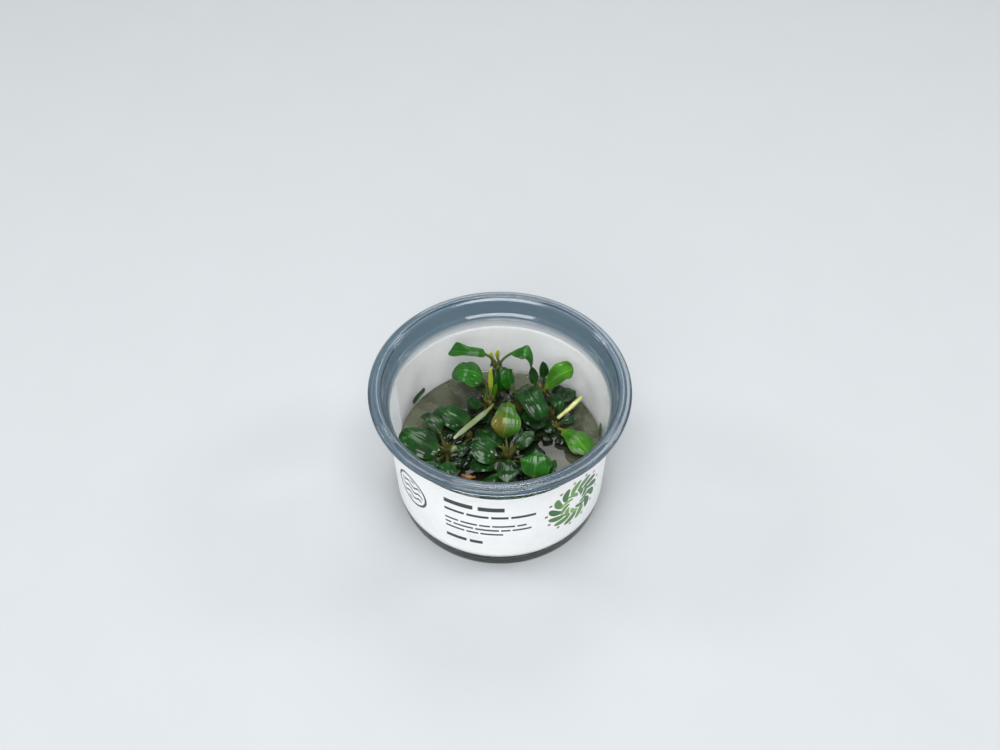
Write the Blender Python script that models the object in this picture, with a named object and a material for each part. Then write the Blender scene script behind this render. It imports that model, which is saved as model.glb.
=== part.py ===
"""A clump of bucephalandra standing in nutrient gel in its round growing cup.

Blender 4.5, metres, +Z up. The origin is on the cup's axis at the plane it stands on, and the
viewer of the photograph looks along +Y. Sizes below are in millimetres and go through MM.
"""
import math

import bpy
import bmesh
from mathutils import Matrix, Vector

MM = 0.001

# Driving dimensions of the cup
CUP_HEIGHT = 61.0
RIM_RADIUS = 50.0
BASE_RADIUS = 41.0
WALL = 0.8
FLOOR_TOP = 1.6
SHOULDER_HEIGHT = 50.0
SHOULDER_RADIUS = 43.0
FOOT_OUTER = 40.7
FOOT_INNER = 36.5
FOOT_RECESS = 0.8
TURN_STEPS = 40

# Label, gel and the gap between pieces that touch
LABEL_TOP = 46.7
LABEL_BOTTOM = 6.8
LABEL_THICKNESS = 0.25
FRONT_LABEL_ANGLES = (180.5, 357.5)
BACK_LABEL_ANGLES = (2.5, 162.5)
GEL_LEVEL = 22.0
GEL_MENISCUS = 0.7
GAP = 0.3

# Shoots: crown, place of the root tail's end, all in mm
STEM_RADIUS = 1.25
TAIL_RADIUS = 0.5
STEM_SIDES = 8
CROWN_CLEARANCE = 2.15
SHOOTS = {
    "back": ((-1.5, 31.0, 37.0), (2.0, 27.0, 4.0)),
    "middle": ((-4.5, 19.5, 27.5), (-3.0, 16.0, 5.0)),
    "centre": ((8.5, 17.5, 24.5), (6.5, 11.0, 5.0)),
    "right_back": ((17.5, 24.5, 29.0), (15.0, 21.0, 6.0)),
    "right": ((21.0, 16.5, 25.0), (17.0, 13.0, 4.5)),
    "right_outer": ((22.5, 10.0, 24.0), (20.0, 6.0, 7.0)),
    "left": ((-21.0, -4.0, 25.0), (-17.0, -7.0, 5.0)),
    "left_middle": ((-12.5, 4.5, 24.5), (-11.0, 1.0, 6.0)),
    "front_middle": ((3.0, -6.5, 24.5), (1.0, -9.0, 4.5)),
    "front_right": ((13.0, -23.0, 26.0), (11.0, -19.0, 6.0)),
}

# Leaf blade and petiole
PETIOLE_HALF_WIDTH = 0.6
PETIOLE_THICKNESS = 1.0
BLADE_THICKNESS = 0.6
MARGIN_THICKNESS = 0.3
TIP_HALF_WIDTH = 0.3
BROAD_LEAF = 7.2
PETIOLE_STATIONS = 2
BLADE_STATIONS = 6

# Blade outlines: half-width at even steps from the neck to the tip, as a share of the widest
OUTLINES = {
    "oval": (0.20, 0.80, 1.0, 0.95, 0.72, 0.25),
    "broad": (0.40, 0.92, 1.0, 0.94, 0.78, 0.40),
    "spoon": (0.55, 0.50, 0.80, 1.0, 0.90, 0.30),
    "blunt": (0.45, 0.84, 0.95, 1.0, 0.98, 0.75),
    "strap": (0.40, 0.85, 1.0, 1.0, 0.92, 0.50),
    "flare": (0.55, 0.60, 0.68, 0.80, 1.0, 0.95),
    "fan": (0.25, 0.60, 0.85, 1.0, 0.98, 0.75),
    "lance": (0.30, 0.80, 1.0, 0.80, 0.50, 0.06),
    "spike": (0.70, 0.90, 1.0, 0.95, 0.75, 0.30),
}

# Leaves: shoot, side of the stem it leaves by (degrees) and how far below the crown, then the
# neck, belly and tip of its midrib, its width, outline, roll (degrees), cupping and waviness
LEAVES = {
    "back_strap": ("back", 195, 0.0, (-5.5, 29.5, 44.5), (-11.0, 29.5, 46.0), (-20.0, 31.5, 45.0),
                   7.5, "flare", 0, 0.3, 0.03),
    "back_arch": ("back", 345, 0.0, (4.0, 28.5, 46.0), (9.5, 27.5, 49.5), (12.5, 25.5, 41.0),
                  7.0, "oval", 0, -0.35, 0.06),
    "back_hanging": ("back", 280, 0.0, (-0.5, 27.5, 40.0), (0.0, 25.0, 38.0), (0.5, 23.0, 30.5),
                     8.5, "blunt", 0, -0.15, 0.06),
    "back_spike": ("back", 60, 0.0, (-1.0, 31.5, 41.0), (-1.0, 31.0, 44.0), (-1.0, 30.5, 46.5),
                   1.7, "spike", 0, 0.0, 0.0),
    "back_spike_small": ("back", 120, 0.0, (-3.0, 32.0, 39.5), (-3.5, 32.0, 41.5), (-3.5, 32.0, 43.5),
                         1.5, "spike", 0, 0.0, 0.0),
    "middle_broad": ("middle", 170, 0.0, (-6.5, 23.0, 36.5), (-12.5, 23.5, 42.0), (-19.5, 24.0, 38.0),
                     12.0, "broad", 0, -0.25, 0.05),
    "middle_small": ("middle", 108, 1.0, (-7.0, 22.5, 30.0), (-9.5, 24.5, 32.5), (-12.0, 26.0, 32.0),
                     4.8, "oval", 0, 0.2, 0.08),
    "middle_low": ("middle", 210, 1.5, (-7.5, 17.8, 27.5), (-10.5, 17.5, 29.0), (-13.0, 16.0, 26.0),
                   6.8, "oval", 0, -0.2, 0.11),
    "middle_spike": ("middle", 70, 0.0, (-3.7, 21.0, 33.0), (-3.7, 21.5, 39.0), (-3.7, 22.0, 45.0),
                     1.9, "spike", 0, 0.0, 0.0),
    "middle_spike_side": ("middle", 10, 0.0, (-2.5, 19.5, 31.0), (-2.0, 20.0, 34.0), (-1.5, 20.5, 37.0),
                          2.0, "spike", 0, 0.0, 0.0),
    "middle_strap": ("middle", 320, 0.5, (-4.5, 14.0, 29.0), (-11.0, 6.0, 30.0), (-18.5, -0.5, 28.0),
                     2.0, "strap", -15, 0.2, 0.0),
    "centre_upright": ("centre", 120, 0.0, (5.0, 20.0, 36.0), (3.5, 20.5, 40.5), (3.0, 22.0, 44.5),
                       6.5, "blunt", 0, -0.2, 0.04),
    "centre_spoon": ("centre", 235, 0.0, (3.5, 13.0, 34.5), (2.5, 4.0, 35.5), (1.0, -0.5, 28.5),
                     12.0, "spoon", 0, -0.25, 0.05),
    "right_back_bright": ("right_back", 300, 0.0, (18.5, 22.0, 32.5), (22.5, 23.0, 38.0), (29.5, 24.5, 41.5),
                          10.0, "fan", 0, 0.2, 0.04),
    "right_back_small": ("right_back", 190, 0.5, (14.5, 24.5, 32.0), (13.5, 26.0, 36.0),
                         (12.8, 27.5, 39.5), 4.0, "oval", 0, 0.1, 0.04),
    "right_back_tall": ("right_back", 75, 0.0, (18.0, 27.0, 33.0), (17.8, 28.0, 37.0),
                        (17.2, 29.5, 40.5), 4.0, "oval", 0, 0.1, 0.04),
    "right_wide": ("centre", 70, 0.0, (9.5, 23.0, 31.5), (13.5, 15.0, 33.5), (17.5, 9.0, 28.0),
                   10.5, "broad", 0, -0.2, 0.05),
    "right_inner": ("right", 215, 0.5, (18.5, 12.5, 25.0), (14.5, 11.0, 27.0), (8.5, 12.0, 26.5),
                    8.5, "oval", 0, -0.25, 0.08),
    "right_curl": ("right_back", 345, 0.4, (21.0, 21.0, 30.0), (23.0, 17.0, 31.5), (24.0, 13.0, 27.5),
                   5.5, "oval", 0, -0.3, 0.05),
    "right_wall": ("right", 45, 0.5, (25.0, 20.5, 26.0), (27.0, 23.5, 27.5), (27.5, 28.0, 25.5),
                   8.0, "oval", 0, -0.1, 0.05),
    "right_sunk_far": ("right", 0, 1.0, (26.0, 18.0, 21.0), (32.0, 20.0, 19.0), (34.5, 19.0, 16.0),
                       6.5, "oval", 0, -0.1, 0.03),
    "right_outer_bright": ("right_outer", 300, 0.0, (25.0, 6.5, 25.0), (30.0, 1.0, 27.0),
                           (35.0, -6.5, 25.0), 10.5, "spoon", 0, -0.15, 0.04),
    "right_outer_short": ("right_outer", 0, 0.3, (25.5, 10.0, 25.0), (27.5, 10.5, 26.0),
                          (30.5, 11.0, 25.0), 3.8, "oval", 0, 0.1, 0.03),
    "right_outer_sunk": ("right_outer", 255, 0.8, (22.5, 6.5, 20.0), (23.5, 2.5, 17.0),
                         (24.5, -1.5, 12.0), 4.5, "oval", 0, 0.1, 0.03),
    "front_right_face": ("front_right", 90, 0.0, (13.0, -20.5, 29.5), (13.5, -19.0, 33.5), (14.0, -13.5, 36.5),
                         12.0, "blunt", 0, -0.25, 0.06),
    "front_right_small": ("front_right", 30, 0.0, (17.0, -20.5, 28.0), (19.5, -17.5, 30.5),
                          (21.5, -13.5, 31.5), 4.3, "oval", 0, 0.1, 0.06),
    "front_right_out": ("front_right", 320, 0.0, (18.0, -25.5, 29.0), (24.0, -26.0, 31.5),
                        (29.5, -22.5, 29.5), 7.5, "oval", 0, -0.2, 0.09),
    "front_right_low": ("front_right", 215, 0.3, (9.0, -26.0, 28.5), (4.5, -29.5, 30.5),
                        (0.0, -31.0, 28.0), 7.0, "oval", 0, -0.2, 0.09),
    "front_middle_rise": ("front_middle", 160, 0.0, (-1.0, -9.0, 28.0), (-5.0, -8.5, 31.0), (-10.0, -4.5, 31.0),
                          11.0, "oval", 0, -0.25, 0.05),
    "front_middle_up": ("front_middle", 115, 0.0, (0.5, -3.0, 26.0), (-4.0, 0.5, 26.5),
                        (-9.0, 6.5, 25.5), 7.5, "oval", 0, 0.1, 0.08),
    "front_middle_right": ("front_middle", 25, 0.0, (6.5, -5.0, 27.5), (9.5, -3.0, 31.0),
                           (13.5, 0.5, 31.5), 6.4, "oval", 0, -0.2, 0.09),
    "front_middle_near": ("front_middle", 290, 0.0, (3.5, -10.5, 27.5), (3.0, -15.5, 29.0),
                          (2.5, -21.5, 27.0), 8.5, "oval", 0, -0.2, 0.09),
    "front_middle_low": ("front_middle", 215, 0.5, (-1.5, -9.5, 25.5), (-6.5, -11.5, 27.0),
                         (-12.5, -11.5, 25.0), 8.0, "oval", 0, -0.2, 0.08),
    "front_middle_far": ("front_middle", 250, 0.8, (0.0, -15.0, 24.5), (-3.5, -21.0, 26.0),
                         (-7.5, -26.5, 25.0), 7.5, "oval", 0, -0.15, 0.08),
    "left_upper": ("left", 170, 0.0, (-23.5, -6.5, 28.0), (-30.0, -5.0, 31.5), (-38.5, 1.0, 31.5),
                   13.0, "oval", 0, -0.2, 0.05),
    "left_lower": ("left", 220, 0.5, (-23.5, -9.0, 26.5), (-28.5, -11.0, 28.0), (-35.5, -10.5, 26.5),
                   9.0, "oval", 0, -0.2, 0.08),
    "left_curl": ("left", 125, 0.0, (-23.5, 1.0, 29.0), (-27.0, 4.5, 33.0), (-31.5, 8.0, 32.0),
                  6.0, "oval", 0, 0.4, 0.08),
    "left_near": ("left", 275, 0.0, (-20.5, -11.5, 28.0), (-20.0, -17.5, 30.0), (-18.0, -24.0, 28.0),
                  7.5, "oval", 0, -0.2, 0.09),
    "left_bud": ("left", 320, 0.0, (-18.5, -6.0, 27.5), (-18.0, -6.5, 29.5), (-17.5, -7.0, 31.5),
                 2.6, "spike", 0, 0.0, 0.0),
    "left_middle_dark": ("left_middle", 130, 0.0, (-13.5, 8.0, 25.5), (-17.5, 10.5, 28.0), (-24.5, 16.5, 27.0),
                         11.0, "broad", 0, -0.15, 0.06),
    "left_middle_sunk": ("left_middle", 175, 1.0, (-19.5, 6.0, 21.0), (-26.5, 12.0, 19.0),
                         (-30.0, 20.0, 16.5), 8.0, "oval", 0, -0.1, 0.03),
    "left_middle_short": ("left_middle", 270, 0.3, (-14.0, -1.0, 26.0), (-15.0, -4.5, 27.0),
                          (-16.0, -8.0, 25.5), 4.5, "oval", 0, -0.1, 0.08),
}

# Loose bits: the cut stalk, the dead root and the scraps on the wall
OLD_STALK = ((23.2, 12.4, 25.0), (28.5, 16.0, 27.5), (33.5, 20.0, 30.0))
OLD_STALK_RADIUS = 0.95
DEAD_ROOT = ((-15.0, -14.5, 23.2), (-12.5, -16.0, 23.6), (-9.5, -15.5, 23.2))
DEAD_ROOT_RADIUS = 0.8
SCRAP_SIZE = (8.5, 3.4, 0.5)
SCRAP_GAP = 0.3
SCRAPS = {"scrap_left": (145.0, 26.2, 6.0), "scrap_right": (8.0, 26.5, 80.0)}

# Materials: colour, roughness, how much light passes
FINISHES = {
    "clear_plastic": ((0.55, 0.62, 0.66), 0.15, 0.6),
    "label_paper": ((0.90, 0.92, 0.93), 0.45, 0.0),
    "gel": ((0.33, 0.34, 0.26), 0.25, 0.5),
    "rhizome": ((0.10, 0.12, 0.03), 0.6, 0.0),
    "leaf_deep": ((0.010, 0.055, 0.015), 0.25, 0.0),
    "leaf_mid": ((0.02, 0.12, 0.02), 0.25, 0.0),
    "leaf_bright": ((0.08, 0.32, 0.03), 0.3, 0.0),
    "leaf_pale": ((0.28, 0.36, 0.18), 0.35, 0.0),
    "leaf_new": ((0.42, 0.62, 0.05), 0.35, 0.0),
    "leaf_worn": ((0.10, 0.16, 0.02), 0.3, 0.0),
    "dead": ((0.35, 0.15, 0.05), 0.6, 0.0),
}
LEAF_FINISHES = {
    "back_spike": "leaf_new", "back_spike_small": "leaf_new", "middle_spike": "leaf_new",
    "middle_spike_side": "leaf_bright", "middle_strap": "leaf_pale", "centre_spoon": "leaf_worn",
    "centre_upright": "leaf_mid", "back_strap": "leaf_mid", "back_arch": "leaf_mid",
    "middle_broad": "leaf_mid", "right_back_bright": "leaf_bright",
    "right_outer_bright": "leaf_bright", "front_right_face": "leaf_mid", "left_bud": "leaf_pale",
}


def clear_scene():
    for item in list(bpy.data.objects):
        bpy.data.objects.remove(item, do_unlink=True)


def make_finishes():
    finishes = {}
    for name, (colour, roughness, clearness) in FINISHES.items():
        material = bpy.data.materials.new(name)
        material.use_nodes = True
        shader = material.node_tree.nodes["Principled BSDF"]
        shader.inputs["Base Color"].default_value = (*colour, 1.0)
        shader.inputs["Roughness"].default_value = roughness
        shader.inputs["Metallic"].default_value = 0.0
        shader.inputs["Transmission Weight"].default_value = clearness
        material.diffuse_color = (*colour, 1.0)
        finishes[name] = material
    return finishes


def add_object(name, mesh, material):
    mesh.materials.append(material)
    item = bpy.data.objects.new(name, mesh)
    bpy.context.scene.collection.objects.link(item)
    return item


def as_cutter(item):
    item.hide_render = True
    item.display_type = "WIRE"
    return item


def wall_outer(height):
    """Outer radius of the tapered wall below the shoulder."""
    slope = (SHOULDER_RADIUS - BASE_RADIUS) / SHOULDER_HEIGHT
    return BASE_RADIUS + slope * height


def wall_inner(height):
    return wall_outer(height) - WALL


def turned(name, profile, material):
    """Revolve a profile of (radius, height) points that starts and ends on the axis."""
    mesh = bpy.data.meshes.new(name)
    points = [(radius * MM, 0.0, height * MM) for radius, height in profile]
    edges = [(index, index + 1) for index in range(len(points) - 1)]
    mesh.from_pydata(points, edges, [])
    item = add_object(name, mesh, material)
    screw = item.modifiers.new("turn", "SCREW")
    screw.axis = "Z"
    screw.steps = TURN_STEPS
    screw.render_steps = TURN_STEPS
    screw.use_merge_vertices = True
    screw.merge_threshold = 0.00001
    screw.use_smooth_shade = True
    return item


def cup_profile():
    """From the middle of the floor up the inside, over the rim and down the outside."""
    inside = [
        (0.0, FLOOR_TOP),
        (wall_inner(3.0) - 1.5, FLOOR_TOP),
        (wall_inner(3.0), 3.2),
        (wall_inner(46.0), 46.0),
        (SHOULDER_RADIUS - 0.3, 53.2),
        (SHOULDER_RADIUS + 0.9, 53.9),
        (44.8, 59.9),
    ]
    rim = [
        (45.8, 60.3),
        (46.4, CUP_HEIGHT),
        (47.2, CUP_HEIGHT),
        (47.9, 60.4),
        (49.4, 60.4),
        (RIM_RADIUS, 59.8),
        (RIM_RADIUS, 58.2),
        (49.1, 58.2),
        (49.0, 59.3),
    ]
    outside = [
        (45.7, 59.3),
        (44.7, 53.4),
        (SHOULDER_RADIUS + 0.6, 52.4),
        (SHOULDER_RADIUS, SHOULDER_HEIGHT),
        (wall_outer(1.5), 1.5),
        (FOOT_OUTER, 0.0),
        (FOOT_INNER, 0.0),
        (FOOT_INNER - 0.8, FOOT_RECESS),
        (0.0, FOOT_RECESS),
    ]
    return inside + rim + outside


def gel_profile():
    """From the middle of the surface to the wall it clings to, and down to the floor."""
    edge = wall_inner(GEL_LEVEL) - GAP
    return [
        (0.0, GEL_LEVEL),
        (edge - 2.5, GEL_LEVEL),
        (edge - 0.8, GEL_LEVEL + 0.3 * GEL_MENISCUS),
        (edge, GEL_LEVEL + GEL_MENISCUS),
        (wall_inner(3.0) - GAP - 0.1, 3.4),
        (wall_inner(3.0) - 1.8, FLOOR_TOP + GAP),
        (0.0, FLOOR_TOP + GAP),
    ]


def label(name, angles, material):
    """A curved sheet held off the tapered wall by the usual gap."""
    start, end = angles
    step = 360.0 / TURN_STEPS
    inner_turns = range(math.floor(start / step) + 1, math.ceil(end / step))
    turns = [start] + [turn * step for turn in inner_turns] + [end]
    shape = bmesh.new()
    rings = []
    for angle in turns:
        direction = Vector((math.cos(math.radians(angle)), math.sin(math.radians(angle)), 0.0))
        ring = []
        for height, lift in ((LABEL_BOTTOM, 0.0), (LABEL_TOP, 0.0), (LABEL_TOP, 1.0), (LABEL_BOTTOM, 1.0)):
            radius = wall_outer(height) + GAP + lift * LABEL_THICKNESS
            ring.append(shape.verts.new((direction * radius + Vector((0.0, 0.0, height))) * MM))
        rings.append(ring)
    return add_object(name, loft_mesh(name, shape, rings), material)


def loft_mesh(name, shape, rings):
    """Join rings of vertices into one closed tube with capped ends."""
    count = len(rings[0])
    for ring, following in zip(rings, rings[1:]):
        for index in range(count):
            after = (index + 1) % count
            shape.faces.new((ring[index], ring[after], following[after], following[index]))
    shape.faces.new(rings[0])
    shape.faces.new(rings[-1])
    bmesh.ops.recalc_face_normals(shape, faces=shape.faces)
    bmesh.ops.triangulate(shape, faces=shape.faces)
    mesh = bpy.data.meshes.new(name)
    shape.to_mesh(mesh)
    shape.free()
    mesh.shade_smooth()
    mesh.set_sharp_from_angle(angle=math.radians(50))
    return mesh


def route(points):
    """A smooth curve through a few points, as a function of 0 to 1 along its chords."""
    knots = [Vector(point) for point in points]
    marks = [0.0]
    for before, after in zip(knots, knots[1:]):
        marks.append(marks[-1] + (after - before).length)
    marks = [mark / marks[-1] for mark in marks]

    def place(along):
        total = Vector((0.0, 0.0, 0.0))
        for index, knot in enumerate(knots):
            weight = 1.0
            for other, mark in enumerate(marks):
                if other != index:
                    weight *= (along - mark) / (marks[index] - mark)
            total += knot * weight
        return total

    return place, marks


def heading(place, along):
    """Direction of a route at one place on it."""
    step = 0.01
    low = max(0.0, along - step)
    high = min(1.0, along + step)
    return (place(high) - place(low)).normalized()


def rod(name, points, radii, material, grow=0.0):
    """A round tapering piece along a route, such as a rhizome or a stalk."""
    place, _ = route(points)
    shape = bmesh.new()
    rings = []
    last = len(radii) - 1
    for index, radius in enumerate(radii):
        along = index / last
        forward = heading(place, along)
        side = forward.cross(Vector((0.0, 1.0, 0.01))).normalized()
        centre = place(along)
        if index == 0:
            centre = centre - forward * grow
        if index == last:
            centre = centre + forward * grow
        ring = []
        for step in range(STEM_SIDES):
            turn = Matrix.Rotation(2.0 * math.pi * step / STEM_SIDES, 3, forward)
            ring.append(shape.verts.new((centre + (turn @ side) * (radius + grow)) * MM))
        rings.append(ring)
    return add_object(name, loft_mesh(name, shape, rings), material)


def stem_points(shoot):
    crown, tail = SHOOTS[shoot]
    bend = (crown[0] * 0.85 + tail[0] * 0.15, crown[1] * 0.85 + tail[1] * 0.15, 0.5 * (crown[2] + tail[2]))
    return tail, bend, crown


def stem(shoot, material, grow=0.0, name=None):
    """A shoot's rhizome, thick at the gel's surface, with its root tail below."""
    radii = (TAIL_RADIUS, 1.1, STEM_RADIUS * 1.3, STEM_RADIUS * 1.15, STEM_RADIUS)
    return rod(name or shoot + "_stem", stem_points(shoot), radii, material, grow)


def leaf_route(row):
    shoot, side, drop, neck, belly, tip = row[:6]
    crown = Vector(SHOOTS[shoot][0])
    turn = math.radians(side)
    foot = crown + Vector((math.cos(turn), math.sin(turn), 0.0)) * CROWN_CLEARANCE
    foot.z -= drop
    return route((foot, neck, belly, tip))


def blade_share(outline, blade):
    """Half-width of the blade, as a share of its widest, from its neck (0) to its tip (1)."""
    shares = OUTLINES[outline]
    spot = blade * (len(shares) - 1)
    index = min(int(spot), len(shares) - 2)
    ease = spot - index
    return shares[index] * (1.0 - ease) + shares[index + 1] * ease


def leaf(name, row, material, grow=0.0, order=0):
    """One leaf: a petiole that widens into a cupped, waved blade along its route."""
    width, outline, roll, cup, wave = row[6:]
    place, marks = leaf_route(row)
    neck = marks[1]
    spike = outline == "spike"
    across = 4 if width >= BROAD_LEAF and "sunk" not in name else 2
    level = Vector(row[5]) - Vector(row[3])
    side_line = Vector((-level.y, level.x, 0.0))
    if side_line.length < 0.8:
        side_line = Vector((1.0, 0.0, 0.0))
    shares = [0.0] * PETIOLE_STATIONS + [index / (BLADE_STATIONS - 1) for index in range(BLADE_STATIONS)]
    shape = bmesh.new()
    rings = []
    for index, share in enumerate(shares):
        along = neck + (1.0 - neck) * share
        if index < PETIOLE_STATIONS:
            along = neck * index / PETIOLE_STATIONS
        forward = heading(place, along)
        side = (side_line - forward * side_line.dot(forward)).normalized()
        side = Matrix.Rotation(math.radians(roll), 3, forward) @ side
        up = forward.cross(side)
        open_out = blade_share(outline, share)
        if index < PETIOLE_STATIONS:
            open_out = 0.0
        slim = PETIOLE_HALF_WIDTH if share < 0.5 else TIP_HALF_WIDTH
        half = max(slim, 0.5 * width * open_out) + grow
        flat = min(1.0, open_out * 1.6)
        thick = PETIOLE_THICKNESS + (BLADE_THICKNESS - PETIOLE_THICKNESS) * flat
        if share > 0.9:
            thick = MARGIN_THICKNESS
        if spike:
            thick = max(MARGIN_THICKNESS, 0.85 * width * open_out, PETIOLE_THICKNESS * (1.0 - share))
        centre = place(along)
        if index == 0:
            centre = centre - forward * grow
        if index == len(shares) - 1:
            centre = centre + forward * grow
        upper = []
        lower = []
        for step in range(across + 1):
            offset = 2.0 * step / across - 1.0
            ripple = math.sin(order + 4.2 * math.pi * share + (0.0 if offset < 0.0 else 2.0))
            lift = open_out * offset * offset * (cup * half + wave * width * ripple)
            if spike:
                lift = 0.0
            skin = thick + (MARGIN_THICKNESS - thick) * offset * offset + 2.0 * grow
            middle = centre + side * (offset * half) + up * lift
            upper.append(shape.verts.new((middle + up * (0.5 * skin)) * MM))
            lower.append(shape.verts.new((middle - up * (0.5 * skin)) * MM))
        rings.append(upper + lower[::-1])
    return add_object(name, loft_mesh(name, shape, rings), material)


def wall_scrap(name, angle, height, tilt, material):
    """A torn bit of leaf lying flat on the inside of the wall."""
    length, breadth, thickness = SCRAP_SIZE
    if name == "scrap_right":
        length *= 0.75
    outline = ((-0.5, -0.1), (-0.3, -0.5), (0.1, -0.45), (0.5, -0.15), (0.45, 0.3), (0.0, 0.5), (-0.4, 0.4))
    shape = bmesh.new()
    rings = []
    turn = math.radians(tilt)
    for layer in (0.0, 1.0):
        ring = []
        for along, up in outline:
            run = along * length * math.cos(turn) - up * breadth * math.sin(turn)
            rise = along * length * math.sin(turn) + up * breadth * math.cos(turn)
            level = height + rise
            radius = wall_inner(level) * math.cos(math.pi / TURN_STEPS) - SCRAP_GAP - layer * thickness
            around = math.radians(angle) - run / radius
            spot = Vector((radius * math.cos(around), radius * math.sin(around), level))
            ring.append(shape.verts.new(spot * MM))
        rings.append(ring)
    return add_object(name, loft_mesh(name, shape, rings), material)


def carve_gel(gel, pockets):
    """Let the gel set round each sunk piece with the usual gap."""
    for pocket in pockets:
        cut = gel.modifiers.new(pocket.name, "BOOLEAN")
        cut.operation = "DIFFERENCE"
        cut.solver = "EXACT"
        cut.object = as_cutter(pocket)


def build():
    clear_scene()
    finishes = make_finishes()
    turned("cup", cup_profile(), finishes["clear_plastic"])
    label("label_front", FRONT_LABEL_ANGLES, finishes["label_paper"])
    label("label_back", BACK_LABEL_ANGLES, finishes["label_paper"])
    gel = turned("nutrient_gel", gel_profile(), finishes["gel"])
    pockets = []
    for shoot in SHOOTS:
        stem(shoot, finishes["rhizome"])
        pockets.append(stem(shoot, finishes["gel"], GAP, "pocket_" + shoot))
    for order, (name, row) in enumerate(LEAVES.items()):
        leaf(name, row, finishes[LEAF_FINISHES.get(name, "leaf_deep")], order=order)
        if "sunk" in name:
            pockets.append(leaf("pocket_" + name, row, finishes["gel"], GAP, order))
    carve_gel(gel, pockets)
    stalk_radii = (OLD_STALK_RADIUS * 0.8, OLD_STALK_RADIUS, OLD_STALK_RADIUS, OLD_STALK_RADIUS * 0.9)
    rod("old_stalk", OLD_STALK, stalk_radii, finishes["leaf_pale"])
    root_radii = (DEAD_ROOT_RADIUS * 0.6, DEAD_ROOT_RADIUS, DEAD_ROOT_RADIUS, DEAD_ROOT_RADIUS * 0.5)
    rod("dead_root", DEAD_ROOT, root_radii, finishes["dead"])
    for name, (angle, height, tilt) in SCRAPS.items():
        wall_scrap(name, angle, height, tilt, finishes["leaf_deep"])


build()
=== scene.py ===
"""Looks for a clump of bucephalandra in its growing cup.

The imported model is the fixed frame. Every piece here is modelled round it: the see-through cup,
its paper labels, the nutrient gel, the shoots with their leaves, and the loose bits. Sizes in
the tables are millimetres and go through MM. The viewer looks along +Y.
"""
import functools
import math
import random

import bpy
from mathutils import Matrix, Vector, noise
from mathutils.bvhtree import BVHTree


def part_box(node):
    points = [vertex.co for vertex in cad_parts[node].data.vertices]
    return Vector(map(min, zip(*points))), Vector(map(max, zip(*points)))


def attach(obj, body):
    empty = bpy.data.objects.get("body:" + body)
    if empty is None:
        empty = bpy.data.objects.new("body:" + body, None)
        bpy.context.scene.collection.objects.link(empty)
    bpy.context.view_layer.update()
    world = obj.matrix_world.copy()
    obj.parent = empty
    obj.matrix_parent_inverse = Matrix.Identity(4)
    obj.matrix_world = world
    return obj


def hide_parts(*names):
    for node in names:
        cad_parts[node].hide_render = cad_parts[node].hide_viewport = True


bl_info = {
    "name": "Bucephalandra in a growing cup",
    "version": (1, 0, 0),
    "blender": (4, 5, 0),
    "location": "3D View > Sidebar > Cup plant",
    "description": "Models a small aquarium plant in gel in a see-through cup, piece by piece",
    "category": "Object",
}

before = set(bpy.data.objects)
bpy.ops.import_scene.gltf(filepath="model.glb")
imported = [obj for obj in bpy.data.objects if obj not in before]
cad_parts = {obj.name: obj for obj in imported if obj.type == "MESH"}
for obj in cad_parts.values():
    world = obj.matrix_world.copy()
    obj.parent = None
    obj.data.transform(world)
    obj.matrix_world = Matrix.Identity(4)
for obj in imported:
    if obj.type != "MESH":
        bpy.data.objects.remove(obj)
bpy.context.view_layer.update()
MM = 0.001

# Cup and gel, from the frame's boxes where it has them
RIM_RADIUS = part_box("cup")[1].x / MM
CUP_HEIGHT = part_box("cup")[1].z / MM
BASE_RADIUS = 41.0
WALL = 0.8
FLOOR_TOP = 1.6
SHOULDER_HEIGHT = 50.0
SHOULDER_RADIUS = 43.0
FOOT_OUTER = 40.7
FOOT_INNER = 36.5
FOOT_RECESS = 0.8
GEL_LEVEL = 22.0
GEL_MENISCUS = 0.7
GAP = 0.3
LABEL_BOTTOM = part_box("label_front")[0].z / MM
LABEL_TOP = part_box("label_front")[1].z / MM
LABEL_THICKNESS = 0.22
FRONT_LABEL_ANGLES = (180.5, 357.5)
BACK_LABEL_ANGLES = (2.5, 162.5)

# Shoots: crown, end of the root tail
STEM_RADIUS = 1.25
TAIL_RADIUS = 0.5
CROWN_CLEARANCE = 2.15
SHOOTS = {
    "back": ((-1.5, 31.0, 37.0), (2.0, 27.0, 4.0)),
    "middle": ((-4.5, 19.5, 27.5), (-3.0, 16.0, 5.0)),
    "centre": ((8.5, 17.5, 24.5), (6.5, 11.0, 5.0)),
    "right_back": ((17.5, 24.5, 29.0), (15.0, 21.0, 6.0)),
    "right": ((21.0, 16.5, 25.0), (17.0, 13.0, 4.5)),
    "right_outer": ((22.5, 10.0, 24.0), (20.0, 6.0, 7.0)),
    "left": ((-21.0, -4.0, 25.0), (-17.0, -7.0, 5.0)),
    "left_middle": ((-12.5, 4.5, 24.5), (-11.0, 1.0, 6.0)),
    "front_middle": ((3.0, -6.5, 24.5), (1.0, -9.0, 4.5)),
    "front_right": ((13.0, -23.0, 26.0), (11.0, -19.0, 6.0)),
}

# Leaf blade and petiole
PETIOLE_HALF_WIDTH = 0.6
PETIOLE_THICKNESS = 1.0
BLADE_THICKNESS = 0.5
MARGIN_THICKNESS = 0.22
PETIOLE_SHARE = 0.25

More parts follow.
